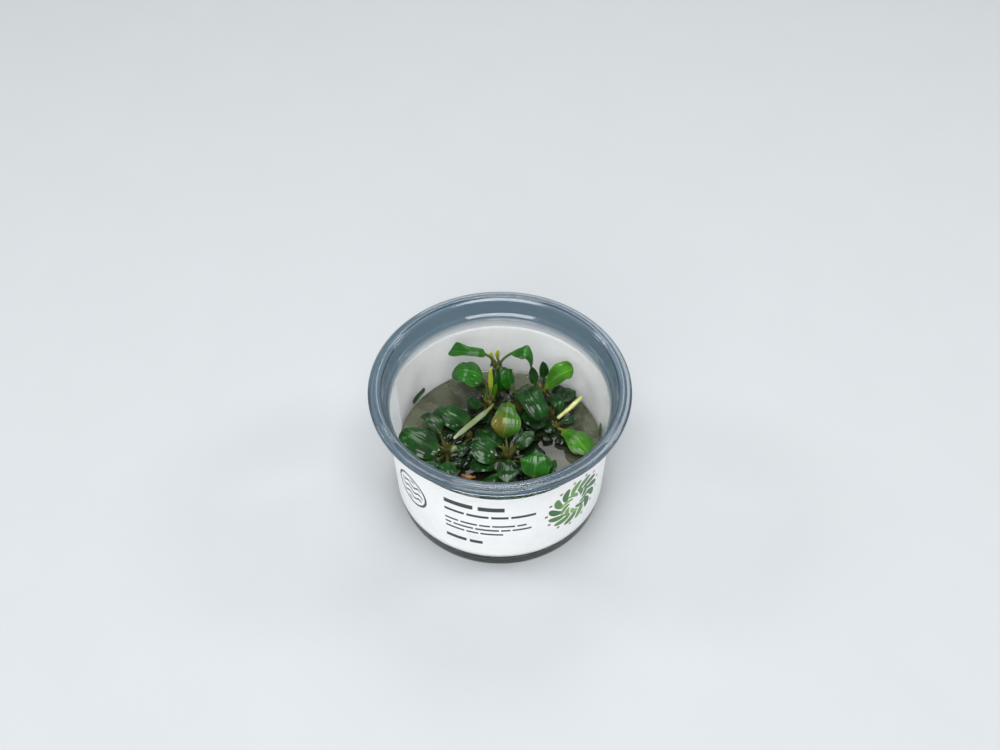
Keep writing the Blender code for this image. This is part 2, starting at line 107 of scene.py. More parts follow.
# Blade outlines: half-width at even steps from the neck to the tip, as a share of the widest
OUTLINES = {
    "oval": (0.20, 0.80, 1.0, 0.95, 0.72, 0.25),
    "broad": (0.40, 0.92, 1.0, 0.94, 0.78, 0.40),
    "spoon": (0.55, 0.50, 0.80, 1.0, 0.90, 0.30),
    "blunt": (0.45, 0.84, 0.95, 1.0, 0.98, 0.75),
    "strap": (0.40, 0.85, 1.0, 1.0, 0.92, 0.50),
    "flare": (0.55, 0.60, 0.68, 0.80, 1.0, 0.95),
    "fan": (0.25, 0.60, 0.85, 1.0, 0.98, 0.75),
    "lance": (0.30, 0.80, 1.0, 0.80, 0.50, 0.06),
    "spike": (0.70, 0.90, 1.0, 0.95, 0.75, 0.30),
}

# Leaves: shoot, side of the stem it leaves by (degrees) and how far below the crown, then the
# neck, belly and tip of its midrib, its width, outline, roll (degrees), cupping and waviness
LEAVES = {
    "back_strap": ("back", 195, 0.0, (-5.5, 29.5, 44.5), (-11.0, 29.5, 46.0), (-20.0, 31.5, 45.0),
                   7.5, "flare", 0, 0.3, 0.03),
    "back_arch": ("back", 345, 0.0, (4.0, 28.5, 46.0), (9.5, 27.5, 49.5), (12.5, 25.5, 41.0),
                  7.0, "oval", 0, -0.35, 0.06),
    "back_hanging": ("back", 280, 0.0, (-0.5, 27.5, 40.0), (0.0, 25.0, 38.0), (0.5, 23.0, 30.5),
                     8.5, "blunt", 0, -0.15, 0.06),
    "back_spike": ("back", 60, 0.0, (-1.0, 31.5, 41.0), (-1.0, 31.0, 44.0), (-1.0, 30.5, 46.5),
                   1.7, "spike", 0, 0.0, 0.0),
    "back_spike_small": ("back", 120, 0.0, (-3.0, 32.0, 39.5), (-3.5, 32.0, 41.5), (-3.5, 32.0, 43.5),
                         1.5, "spike", 0, 0.0, 0.0),
    "middle_broad": ("middle", 170, 0.0, (-6.5, 23.0, 36.5), (-12.5, 23.5, 42.0), (-19.5, 24.0, 38.0),
                     12.0, "broad", 0, -0.25, 0.05),
    "middle_small": ("middle", 108, 1.0, (-7.0, 22.5, 30.0), (-9.5, 24.5, 32.5), (-12.0, 26.0, 32.0),
                     4.8, "oval", 0, 0.2, 0.08),
    "middle_low": ("middle", 210, 1.5, (-7.5, 17.8, 27.5), (-10.5, 17.5, 29.0), (-13.0, 16.0, 26.0),
                   6.8, "oval", 0, -0.2, 0.11),
    "middle_spike": ("middle", 70, 0.0, (-3.7, 21.0, 33.0), (-3.7, 21.5, 39.0), (-3.7, 22.0, 45.0),
                     1.9, "spike", 0, 0.0, 0.0),
    "middle_spike_side": ("middle", 10, 0.0, (-2.5, 19.5, 31.0), (-2.0, 20.0, 34.0), (-1.5, 20.5, 37.0),
                          2.0, "spike", 0, 0.0, 0.0),
    "middle_strap": ("middle", 320, 0.5, (-4.5, 14.0, 29.0), (-11.0, 6.0, 30.0), (-18.5, -0.5, 28.0),
                     2.0, "strap", -15, 0.2, 0.0),
    "centre_upright": ("centre", 120, 0.0, (5.0, 20.0, 36.0), (3.5, 20.5, 40.5), (3.0, 22.0, 44.5),
                       6.5, "blunt", 0, -0.2, 0.04),
    "centre_spoon": ("centre", 235, 0.0, (3.5, 13.0, 34.5), (2.5, 4.0, 35.5), (1.0, -0.5, 28.5),
                     12.0, "spoon", 0, -0.25, 0.05),
    "right_back_bright": ("right_back", 300, 0.0, (18.5, 22.0, 32.5), (22.5, 23.0, 38.0), (29.5, 24.5, 41.5),
                          10.0, "fan", 0, 0.2, 0.04),
    "right_back_small": ("right_back", 190, 0.5, (14.5, 24.5, 32.0), (13.5, 26.0, 36.0),
                         (12.8, 27.5, 39.5), 4.0, "oval", 0, 0.1, 0.04),
    "right_back_tall": ("right_back", 75, 0.0, (18.0, 27.0, 33.0), (17.8, 28.0, 37.0),
                        (17.2, 29.5, 40.5), 4.0, "oval", 0, 0.1, 0.04),
    "right_wide": ("centre", 70, 0.0, (9.5, 23.0, 31.5), (13.5, 15.0, 33.5), (17.5, 9.0, 28.0),
                   10.5, "broad", 0, -0.2, 0.05),
    "right_inner": ("right", 215, 0.5, (18.5, 12.5, 25.0), (14.5, 11.0, 27.0), (8.5, 12.0, 26.5),
                    8.5, "oval", 0, -0.25, 0.08),
    "right_curl": ("right_back", 345, 0.4, (21.0, 21.0, 30.0), (23.0, 17.0, 31.5), (24.0, 13.0, 27.5),
                   5.5, "oval", 0, -0.3, 0.05),
    "right_wall": ("right", 45, 0.5, (25.0, 20.5, 26.0), (27.0, 23.5, 27.5), (27.5, 28.0, 25.5),
                   8.0, "oval", 0, -0.1, 0.05),
    "right_sunk_far": ("right", 0, 1.0, (26.0, 18.0, 21.0), (32.0, 20.0, 19.0), (34.5, 19.0, 16.0),
                       6.5, "oval", 0, -0.1, 0.03),
    "right_outer_bright": ("right_outer", 300, 0.0, (25.0, 6.5, 25.0), (30.0, 1.0, 27.0),
                           (35.0, -6.5, 25.0), 10.5, "spoon", 0, -0.15, 0.04),
    "right_outer_short": ("right_outer", 0, 0.3, (25.5, 10.0, 25.0), (27.5, 10.5, 26.0),
                          (30.5, 11.0, 25.0), 3.8, "oval", 0, 0.1, 0.03),
    "right_outer_sunk": ("right_outer", 255, 0.8, (22.5, 6.5, 20.0), (23.5, 2.5, 17.0),
                         (24.5, -1.5, 12.0), 4.5, "oval", 0, 0.1, 0.03),
    "front_right_face": ("front_right", 90, 0.0, (13.0, -20.5, 29.5), (13.5, -19.0, 33.5), (14.0, -13.5, 36.5),
                         12.0, "blunt", 0, -0.25, 0.06),
    "front_right_small": ("front_right", 30, 0.0, (17.0, -20.5, 28.0), (19.5, -17.5, 30.5),
                          (21.5, -13.5, 31.5), 4.3, "oval", 0, 0.1, 0.06),
    "front_right_out": ("front_right", 320, 0.0, (18.0, -25.5, 29.0), (24.0, -26.0, 31.5),
                        (29.5, -22.5, 29.5), 7.5, "oval", 0, -0.2, 0.09),
    "front_right_low": ("front_right", 215, 0.3, (9.0, -26.0, 28.5), (4.5, -29.5, 30.5),
                        (0.0, -31.0, 28.0), 7.0, "oval", 0, -0.2, 0.09),
    "front_middle_rise": ("front_middle", 160, 0.0, (-1.0, -9.0, 28.0), (-5.0, -8.5, 31.0), (-10.0, -4.5, 31.0),
                          11.0, "oval", 0, -0.25, 0.05),
    "front_middle_up": ("front_middle", 115, 0.0, (0.5, -3.0, 26.0), (-4.0, 0.5, 26.5),
                        (-9.0, 6.5, 25.5), 7.5, "oval", 0, 0.1, 0.08),
    "front_middle_right": ("front_middle", 25, 0.0, (6.5, -5.0, 27.5), (9.5, -3.0, 31.0),
                           (13.5, 0.5, 31.5), 6.4, "oval", 0, -0.2, 0.09),
    "front_middle_near": ("front_middle", 290, 0.0, (3.5, -10.5, 27.5), (3.0, -15.5, 29.0),
                          (2.5, -21.5, 27.0), 8.5, "oval", 0, -0.2, 0.09),
    "front_middle_low": ("front_middle", 215, 0.5, (-1.5, -9.5, 25.5), (-6.5, -11.5, 27.0),
                         (-12.5, -11.5, 25.0), 8.0, "oval", 0, -0.2, 0.08),
    "front_middle_far": ("front_middle", 250, 0.8, (0.0, -15.0, 24.5), (-3.5, -21.0, 26.0),
                         (-7.5, -26.5, 25.0), 7.5, "oval", 0, -0.15, 0.08),
    "left_upper": ("left", 170, 0.0, (-23.5, -6.5, 28.0), (-30.0, -5.0, 31.5), (-38.5, 1.0, 31.5),
                   13.0, "oval", 0, -0.2, 0.05),
    "left_lower": ("left", 220, 0.5, (-23.5, -9.0, 26.5), (-28.5, -11.0, 28.0), (-35.5, -10.5, 26.5),
                   9.0, "oval", 0, -0.2, 0.08),
    "left_curl": ("left", 125, 0.0, (-23.5, 1.0, 29.0), (-27.0, 4.5, 33.0), (-31.5, 8.0, 32.0),
                  6.0, "oval", 0, 0.4, 0.08),
    "left_near": ("left", 275, 0.0, (-20.5, -11.5, 28.0), (-20.0, -17.5, 30.0), (-18.0, -24.0, 28.0),
                  7.5, "oval", 0, -0.2, 0.09),
    "left_bud": ("left", 320, 0.0, (-18.5, -6.0, 27.5), (-18.0, -6.5, 29.5), (-17.5, -7.0, 31.5),
                 2.6, "spike", 0, 0.0, 0.0),
    "left_middle_dark": ("left_middle", 130, 0.0, (-13.5, 8.0, 25.5), (-17.5, 10.5, 28.0), (-24.5, 16.5, 27.0),
                         11.0, "broad", 0, -0.15, 0.06),
    "left_middle_sunk": ("left_middle", 175, 1.0, (-19.5, 6.0, 21.0), (-26.5, 12.0, 19.0),
                         (-30.0, 20.0, 16.5), 8.0, "oval", 0, -0.1, 0.03),
    "left_middle_short": ("left_middle", 270, 0.3, (-14.0, -1.0, 26.0), (-15.0, -4.5, 27.0),
                          (-16.0, -8.0, 25.5), 4.5, "oval", 0, -0.1, 0.08),
}
LEAF_SKINS = {
    "back_spike": "leaf_new", "back_spike_small": "leaf_new", "middle_spike": "leaf_new",
    "middle_spike_side": "leaf_bright", "middle_strap": "leaf_pale", "centre_spoon": "leaf_worn",
    "centre_upright": "leaf_mid", "back_strap": "leaf_mid", "back_arch": "leaf_mid",
    "middle_broad": "leaf_mid", "right_back_bright": "leaf_bright",
    "right_outer_bright": "leaf_bright", "front_right_face": "leaf_mid", "left_bud": "leaf_pale",
}

# Small dark leaves low in the clump: for each shoot the side they grow to and their reach in mm
UNDER_LEAVES = {
    "back": ((210, 6.0), (320, 6.0), (270, 8.0)),
    "middle": ((250, 9.5), (330, 10.0), (15, 9.0), (150, 8.0), (90, 7.0), (285, 9.0), (230, 8.0), (0, 9.0),
               (265, 12.0), (305, 13.0)),
    "centre": ((0, 9.0), (275, 11.0), (310, 10.0), (200, 10.0), (100, 8.0), (60, 8.0), (245, 9.0),
               (225, 14.0), (260, 14.0), (290, 15.0), (325, 12.0)),
    "right_back": ((0, 9.0), (150, 9.0), (230, 8.0), (30, 9.5), (330, 8.5), (180, 8.0), (200, 12.0),
                   (300, 9.0)),
    "right": ((180, 9.0), (250, 9.0), (60, 9.0), (20, 9.0), (130, 8.0), (220, 9.0), (235, 14.0), (290, 8.0),
              (200, 12.0)),
    "right_outer": ((200, 9.5), (160, 8.0), (240, 8.0), (60, 8.0), (225, 14.0), (255, 13.0), (210, 16.0),
                    (280, 9.0)),
    "left": ((20, 10.0), (60, 9.0), (330, 10.0), (350, 9.0), (240, 9.0), (95, 9.0), (195, 10.0),
             (300, 9.0), (265, 8.0), (315, 14.0), (340, 14.0), (290, 14.0), (0, 12.0), (120, 11.0)),
    "left_middle": ((20, 10.0), (330, 10.0), (60, 9.0), (210, 9.0), (300, 9.0), (100, 9.0), (250, 8.0),
                    (0, 8.0), (280, 13.0), (315, 13.0), (345, 13.0), (45, 12.0)),
    "front_middle": ((60, 10.0), (95, 11.0), (0, 10.0), (335, 10.0), (180, 10.5), (200, 9.0), (310, 10.5),
                     (140, 9.5), (265, 9.0), (120, 12.0), (225, 11.0), (20, 14.0), (350, 15.0), (40, 15.0),
                     (75, 15.0), (215, 15.0), (170, 14.0), (240, 14.0), (5, 12.0)),
    "front_right": ((150, 10.0), (180, 10.5), (110, 9.0), (60, 9.0), (250, 9.0), (345, 8.0), (130, 11.0),
                    (90, 8.0), (100, 15.0), (75, 14.0), (125, 15.0), (165, 14.0), (50, 12.0)),
}
UNDER_LEAF_TRIES = 40
UNDER_LEAF_LEVELS = (25.0, 23.0, 25.0, 20.5, 25.0, 18.0)

# Sheaths and old petiole stubs that stand round each crown: how many, and how tall in mm
BRACTS = {
    "back": (6, 4.0), "middle": (6, 4.5), "centre": (6, 5.0), "right_back": (5, 4.0), "right": (6, 4.0),
    "right_outer": (5, 3.5), "left": (10, 5.5), "left_middle": (5, 3.5), "front_middle": (12, 9.0),
    "front_right": (5, 4.0),
}

# Loose bits
OLD_STALK = ((23.2, 12.4, 25.0), (28.5, 16.0, 27.5), (33.5, 20.0, 30.0))
OLD_STALK_RADIUS = 0.95
DEAD_ROOT = ((-15.0, -14.5, 23.2), (-12.5, -16.0, 23.6), (-9.5, -15.5, 23.2))
DEAD_ROOT_RADIUS = 0.8
SCRAP_SIZE = (8.5, 3.4, 0.5)
SCRAPS = {"scrap_left": (145.0, 26.2, 6.0, 1.0), "scrap_right": (8.0, 26.5, 80.0, 0.75)}

# The photograph's view, worked out from the rim and base ellipses
CAMERA_PLACE = (0.00003, -0.31805, 0.4351)
CAMERA_PITCH = 49.225
CAMERA_LENS = 46.8


def linear(hex_text):
    """An sRGB hex value as the linear colour that shaders take."""
    parts = [int(hex_text[start:start + 2], 16) / 255.0 for start in (1, 3, 5)]
    return tuple(part / 12.92 if part <= 0.04045 else ((part + 0.055) / 1.055) ** 2.4 for part in parts)


def add(tree, kind, inputs=None, **settings):
    """Add one node. An input may be a value, a socket, or a node whose first live output is used."""
    node = tree.nodes.new("ShaderNode" + kind)
    for name, value in settings.items():
        setattr(node, name, value)
    for name, value in (inputs or {}).items():
        if isinstance(name, int):
            socket = node.inputs[name]
        else:
            socket = next(item for item in node.inputs if item.enabled and item.name == name)
        if isinstance(value, bpy.types.Node):
            value = next(item for item in value.outputs if item.enabled)
        if isinstance(value, bpy.types.NodeSocket):
            tree.links.new(value, socket)
        else:
            socket.default_value = value
    return node


def new_material(name):
    """A material with only an output, ready for its shader."""
    material = bpy.data.materials.new(name)
    material.use_nodes = True
    tree = material.node_tree
    tree.nodes.clear()
    return material, tree


def finish_material(material, shader, volume=None):
    links = {"Surface": shader}
    if volume:
        links["Volume"] = volume
    add(material.node_tree, "OutputMaterial", links)
    return material


def ramp(tree, factor, stops):
    """A colour ramp from (place, linear colour) pairs."""
    node = add(tree, "ValToRGB", {"Fac": factor})
    band = node.color_ramp
    while len(band.elements) < len(stops):
        band.elements.new(1.0)
    for element, (place, colour) in zip(band.elements, stops):
        element.position = place
        element.color = (*colour, 1.0)
    return node


# Counts of faces
TURN_STEPS = 160
ARC_STEPS = 5
LABEL_STEPS = (150, 30)
LEAF_STEPS = (46, 60)
SPIKE_STEPS = (40, 20)
UNDER_LEAF_STEPS = (26, 28)
PROBE_STEPS = (14, 12)
ROD_STEPS = (60, 24)
BRACT_STEPS = (16, 12)
ROOT_STEPS = (30, 8)
ROOTS_PER_SHOOT = 4
SCRAP_STEPS = (24, 12)
SEAM = 0.000002

# Relief of a leaf: raised nerves, sunk midrib, puckers and the finer waves of the margin
NERVES = 5
NERVE_HEIGHT = 0.15
MIDRIB_DEPTH = 0.28
MIDRIB_WIDTH = 0.5
PUCKER = 0.35
FRILL = 0.12

# Rounded corners of the cup and gel: radius, height and fillet
CUP_CORNERS = (
    (0.0, FLOOR_TOP, 0.0),
    (BASE_RADIUS - 2.2, FLOOR_TOP, 1.0),
    (BASE_RADIUS - 0.7, 3.4, 1.0),
    (SHOULDER_RADIUS - 1.0, 46.0, 2.0),
    (SHOULDER_RADIUS - 0.4, 50.6, 0.5),
    (SHOULDER_RADIUS - 0.9, 51.3, 0.3),
    (SHOULDER_RADIUS - 0.3, 52.0, 0.3),
    (SHOULDER_RADIUS - 0.3, 53.2, 0.15),
    (SHOULDER_RADIUS + 0.9, 53.9, 0.15),
    (44.8, 59.9, 0.4),
    (45.8, 60.3, 0.3),
    (46.4, CUP_HEIGHT, 0.4),
    (47.2, CUP_HEIGHT, 0.4),
    (47.9, 60.4, 0.3),
    (49.4, 60.4, 0.3),
    (RIM_RADIUS, 59.8, 0.3),
    (RIM_RADIUS, 58.2, 0.3),
    (49.1, 58.2, 0.3),
    (49.0, 59.3, 0.3),
    (45.7, 59.3, 0.5),
    (44.7, 53.4, 0.4),
    (SHOULDER_RADIUS + 0.6, 52.4, 0.4),
    (SHOULDER_RADIUS, SHOULDER_HEIGHT, 1.0),
    (BASE_RADIUS + 0.06, 1.5, 0.7),
    (FOOT_OUTER, 0.0, 0.4),
    (FOOT_INNER, 0.0, 0.3),
    (FOOT_INNER - 0.8, FOOT_RECESS, 0.3),
    (0.0, FOOT_RECESS, 0.0),
)

# Print on the labels, in millimetres from the middle and the foot: each row's height up the
# label, how tall it is, and its bars, which stand where words would, by start and end
PRINT_ROWS = (
    (33.0, 2.6, ((-21.0, -9.5), (-7.5, 2.5))),
    (27.6, 1.5, ((-21.0, -13.0), (-12.0, -3.5), (-2.5, 4.0), (5.0, 14.5))),
    (21.6, 1.1, ((-21.0, -15.5), (-14.6, -8.0), (-7.2, -3.0), (-2.2, 6.5), (7.4, 11.0))),
    (18.8, 1.1, ((-21.0, -18.5), (-17.6, -9.6), (-8.8, 0.4), (1.2, 4.8), (5.6, 13.0))),
    (16.0, 1.1, ((-21.0, -13.2), (-12.4, -7.6), (-6.8, 2.0))),
    (9.6, 2.0, ((-21.0, -12.5), (-11.2, -6.0))),
)
BACK_PRINT_ROWS = (
    (33.0, 2.2, ((-24.0, -13.0), (-11.5, 0.0))),
    (27.5, 1.1, ((-24.0, -16.0), (-15.0, -9.5), (-8.5, 1.0), (2.0, 9.0), (10.0, 22.0))),
    (24.8, 1.1, ((-24.0, -20.0), (-19.0, -8.0), (-7.0, -1.0), (0.0, 12.0), (13.0, 19.5))),
    (22.1, 1.1, ((-24.0, -12.0), (-11.0, -3.5), (-2.5, 4.0), (5.0, 16.0), (17.0, 23.5))),
    (19.4, 1.1, ((-24.0, -18.0), (-17.0, -7.0), (-6.0, 5.0))),
    (13.0, 1.1, ((-24.0, -15.0), (-14.0, -9.0), (-8.0, 3.0), (4.0, 9.5))),
    (10.3, 1.1, ((-24.0, -21.0), (-20.0, -10.0), (-9.0, -2.0))),
)
SIGN_PLACE = (-38.5, 23.0)
WREATH_PLACE = (32.5, 22.5)
# Rings of printed leaves: how many, distance from the middle, reach, width, slant, two colours
WREATH_RINGS = (
    (13, 9.6, 3.4, 0.40, 0.45, "#1f5526", "#6a9c48"),
    (9, 5.4, 2.2, 0.42, -0.5, "#2c6a2c", "#8fb464"),
    (13, 13.6, 0.7, 0.11, 0.0, "#7a4b34", "#a9724e"),
)


def route(points):
    """A smooth curve through a few points, as a function of 0 to 1 along its chords."""
    knots = [Vector(point) for point in points]
    marks = [0.0]
    for before, after in zip(knots, knots[1:]):
        marks.append(marks[-1] + (after - before).length)
    marks = [mark / marks[-1] for mark in marks]

    def place(along):
        total = Vector((0.0, 0.0, 0.0))
        for index, knot in enumerate(knots):
            weight = 1.0
            for other, mark in enumerate(marks):
                if other != index:
                    weight *= (along - mark) / (marks[index] - mark)
            total += knot * weight
        return total

    return place, marks


def heading(place, along):
    """Direction of a route at one place on it."""
    step = 0.01
    low = max(0.0, along - step)
    high = min(1.0, along + step)
    return (place(high) - place(low)).normalized()


def eased(values, along):
    """A smooth run through evenly spaced values."""
    spot = min(max(along, 0.0), 1.0) * (len(values) - 1)
    index = min(int(spot), len(values) - 2)
    ease = spot - index
    before = values[max(index - 1, 0)]
    start = values[index]
    end = values[index + 1]
    after = values[min(index + 2, len(values) - 1)]
    bend = (end - before) * ease + (2.0 * before - 5.0 * start + 4.0 * end - after) * ease ** 2
    return start + 0.5 * (bend + (3.0 * start - before - 3.0 * end + after) * ease ** 3)


def rounded_end(share, reach):
    """Narrowing to nothing at the end of a run, like a half circle."""
    left = (1.0 - share) / reach
    return 1.0 if left >= 1.0 else math.sqrt(max(0.0, 1.0 - (1.0 - left) ** 2))


def grid_piece(name, steps, surface):
    """A grid laid on a surface, which gives a place in mm and a map point for along and across."""
    bpy.ops.object.select_all(action="DESELECT")
    bpy.ops.mesh.primitive_grid_add(x_subdivisions=steps[0], y_subdivisions=steps[1], size=1.0)
    piece = bpy.context.object
    piece.name = name
    piece.data.name = name
    mesh = piece.data
    spots = [surface(vertex.co.x + 0.5, vertex.co.y + 0.5) for vertex in mesh.vertices]
    for vertex, (place, _) in zip(mesh.vertices, spots):
        vertex.co = place * MM
    layer = mesh.uv_layers.active.data
    for loop in mesh.loops:
        layer[loop.index].uv = spots[loop.vertex_index][1]
    return piece


def close_up(piece):
    """Merge the seam, cap the ends and turn every face outwards."""
    bpy.ops.object.mode_set(mode="EDIT")
    bpy.ops.mesh.select_all(action="SELECT")
    bpy.ops.mesh.remove_doubles(threshold=SEAM)
    bpy.ops.mesh.fill_holes(sides=0)
    bpy.ops.mesh.normals_make_consistent(inside=False)
    bpy.ops.object.mode_set(mode="OBJECT")
    bpy.ops.object.shade_smooth()
    return piece


def settle(piece, material, slot, *nodes):
    """Give a finished piece its finish, its body and the solids that it stands for. The slot is not used."""
    piece.data.materials.clear()
    piece.data.materials.append(material)
    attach(piece, "root")
    if nodes:
        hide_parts(*nodes)
    return piece


def wall_outer(height):
    """Outer radius of the tapered wall below the shoulder."""
    return BASE_RADIUS + (SHOULDER_RADIUS - BASE_RADIUS) / SHOULDER_HEIGHT * height


def wall_inner(height):
    return wall_outer(height) - WALL


def rounded_profile(corners):
    """Outline points, with each corner that has a fillet turned into a short arc."""
    points = []
    for index, (radius, height, fillet) in enumerate(corners):
        corner = Vector((radius, height))
        if not fillet:
            points.append(corner)
            continue
        before = Vector(corners[index - 1][:2]) - corner
        after = Vector(corners[index + 1][:2]) - corner
        reach = min(fillet, 0.45 * before.length, 0.45 * after.length)
        start = corner + before.normalized() * reach
        end = corner + after.normalized() * reach
        for step in range(ARC_STEPS + 1):
            ease = step / ARC_STEPS
            points.append(start * (1.0 - ease) ** 2 + corner * 2.0 * ease * (1.0 - ease) + end * ease ** 2)
    return points


def turned(name, points):
    """Spin an outline, which starts and ends on the axis, into a closed round body."""
    bpy.ops.object.select_all(action="DESELECT")
    bpy.ops.mesh.primitive_circle_add(vertices=len(points), radius=1.0, fill_type="NOTHING")
    piece = bpy.context.object
    piece.name = name
    piece.data.name = name
    for vertex, (radius, height) in zip(piece.data.vertices, points):
        vertex.co = Vector((radius, 0.0, height)) * MM
        vertex.select = radius == 0.0
    for edge in piece.data.edges:
        edge.select = all(piece.data.vertices[end].select for end in edge.vertices)
    bpy.ops.object.mode_set(mode="EDIT")
    bpy.ops.mesh.delete(type="EDGE")
    bpy.ops.mesh.select_all(action="SELECT")
    bpy.ops.mesh.spin(steps=TURN_STEPS, angle=2.0 * math.pi, center=(0.0, 0.0, 0.0), axis=(0.0, 0.0, 1.0))
    bpy.ops.mesh.select_all(action="SELECT")
    bpy.ops.mesh.remove_doubles(threshold=SEAM)
    bpy.ops.mesh.normals_make_consistent(inside=False)
    bpy.ops.object.mode_set(mode="OBJECT")
    bpy.ops.object.shade_smooth()
    return piece


def leaf_surface(row, order):
    """The skin of one leaf, petiole and blade, as a closed lens round its midrib."""
    shoot, side_angle, drop, neck_at, belly_at, tip_at, width, outline, roll, cup, wave = row
    turn = math.radians(side_angle)
    foot = Vector(SHOOTS[shoot][0]) + Vector((math.cos(turn), math.sin(turn), 0.0)) * CROWN_CLEARANCE
    foot.z -= drop
    place, marks = route((foot, neck_at, belly_at, tip_at))
    neck = marks[1]
    blade_length = (Vector(belly_at) - Vector(neck_at)).length + (Vector(tip_at) - Vector(belly_at)).length
    spike = outline == "spike"
    tip_reach = (0.25 * width * OUTLINES[outline][-1] + 0.6) / blade_length
    level = Vector(tip_at) - Vector(neck_at)
    side_line = Vector((-level.y, level.x, 0.0))
    if side_line.length < 0.8:
        side_line = Vector((1.0, 0.0, 0.0))

    @functools.lru_cache(maxsize=None)
    def station(run):
        blade = max(0.0, (run - PETIOLE_SHARE) / (1.0 - PETIOLE_SHARE))
        blade = 0.4 * blade + 0.6 * math.sin(0.5 * math.pi * blade)
        along = neck + (1.0 - neck) * blade if run > PETIOLE_SHARE else neck * run / PETIOLE_SHARE
        forward = heading(place, along)
        side = (side_line - forward * side_line.dot(forward)).normalized()
        side = Matrix.Rotation(math.radians(roll), 3, forward) @ side
        start = min(1.0, blade / 0.12)
        share = eased(OUTLINES[outline], blade) * start * start * (3.0 - 2.0 * start)
        close = rounded_end(blade, tip_reach)
        half = math.hypot(PETIOLE_HALF_WIDTH * (1.0 - blade), 0.5 * width * share) * close
        thick = PETIOLE_THICKNESS + (BLADE_THICKNESS - PETIOLE_THICKNESS) * min(1.0, share * 1.6)
        if spike:
            thick = max(MARGIN_THICKNESS, 0.85 * width * share, PETIOLE_THICKNESS * (1.0 - blade))
        return place(along), side, forward.cross(side), half, thick * close, share, blade

    def surface(run, around):
        centre, side, up, half, thick, share, blade = station(run)
        part = (2.0 * around) % 1.0 if around < 1.0 else 1.0
        offset = 0.5 * math.cos(math.pi * part) + 0.5 * (1.0 - 2.0 * part)
        face = 1.0
        if around >= 0.5:
            offset = -offset
            face = -1.0
        ripple = math.sin(order + 3.4 * math.pi * blade + (0.0 if offset < 0.0 else 2.0))
        lift = share * offset * offset * (cup * half + wave * width * ripple)
        rise = face * 0.5 * thick * math.sqrt(max(0.0, 1.0 - offset * offset))
        if spike:
            lift = 0.0
        else:
            spread = share * min(1.0, half / 2.5)
            frill = math.sin(2.3 * order + 7.0 * math.pi * blade + (0.0 if offset < 0.0 else 1.3))
            lift += FRILL * spread * abs(offset) ** 3 * frill
            lift += PUCKER * spread * noise.noise(Vector((2.2 * blade, 2.4 * offset, 7.3 * order)))
            lift += NERVE_HEIGHT * spread * (1.0 - offset ** 4) * math.cos(2.0 * math.pi * NERVES * offset)
            groove = math.exp(-(offset * half / MIDRIB_WIDTH) ** 2)
            lift -= MIDRIB_DEPTH * spread * groove * (1.0 if face > 0.0 else 2.2)
        spot = centre + side * (offset * half) + up * (lift + rise)
        return spot, (run, 0.5 + 0.5 * offset)

    return surface


def rod_surface(points, radii, roughness, seed):
    """The skin of a round tapering piece along a route, with lumps."""
    place, _ = route(points)

    @functools.lru_cache(maxsize=None)
    def station(along):
        forward = heading(place, along)
        side = forward.cross(Vector((0.0, 1.0, 0.01))).normalized()
        close = rounded_end(along, 0.04) * rounded_end(1.0 - along, 0.02)
        return place(along), forward, side, eased(radii, along) * close

    def surface(along, around):
        centre, forward, side, radius = station(along)
        outward = Matrix.Rotation(2.0 * math.pi * (around % 1.0), 3, forward) @ side
        lump = noise.noise(outward * 0.9 + centre * 0.9 + Vector((seed, 0.0, 0.0)))
        return centre + outward * radius * (1.0 + roughness * lump), (along, around)

    return surface


# Materials


def cup_plastic(cup):
    """Clear polypropylene, injection moulded: hazy and cool, greying what is behind its thick neck."""
    material, tree = new_material("Clear polypropylene, moulded")
    where = add(tree, "TexCoord")
    split = add(tree, "SeparateXYZ", {"Vector": where.outputs["Object"]})
    neck = add(tree, "MapRange", {"Value": split.outputs["Z"], "From Min": 0.0465, "From Max": 0.0525})
    # Painted light: below 6.5 mm the wall turns milky grey-green, which lightens the strip under the label where
    # the gel behind the clear wall renders unlit; the thick plastic of the foot is milky in itself as well.
    foot = add(tree, "MapRange", {"Value": split.outputs["Z"], "From Min": 0.0065, "From Max": 0.0045})
    foot_milk_and_painted_light = add(tree, "Mix", {"Factor": foot, "A": (*cup.tint, 1.0), "B": (*linear("#6f7d76"), 1.0)},
                 data_type="RGBA")
    tint = add(tree, "Mix", {"Factor": neck, "A": foot_milk_and_painted_light, "B": (*cup.neck_tint, 1.0)}, data_type="RGBA")
    milky = add(tree, "Math", {0: foot, 1: neck}, operation="MAXIMUM")
    clear = add(tree, "MapRange", {"Value": milky, "To Min": 1.0, "To Max": cup.clearness})
    solid = add(tree, "MapRange", {"Value": milky, "To Min": 0.15, "To Max": 1.0})
    flow = add(tree, "TexNoise", {"Vector": where.outputs["Object"], "Scale": 120.0, "Detail": 3.0})
    haze = add(tree, "MapRange", {"Value": flow, "To Min": 0.04, "To Max": 0.10})
    dents = add(tree, "Bump", {"Height": flow, "Strength": 0.05, "Distance": 0.0003})
    shader = add(tree, "BsdfPrincipled", {
        "Base Color": tint, "Roughness": haze, "IOR": 1.49, "Transmission Weight": clear,
        "Normal": dents, "Alpha": solid})
    return finish_material(material, shader)


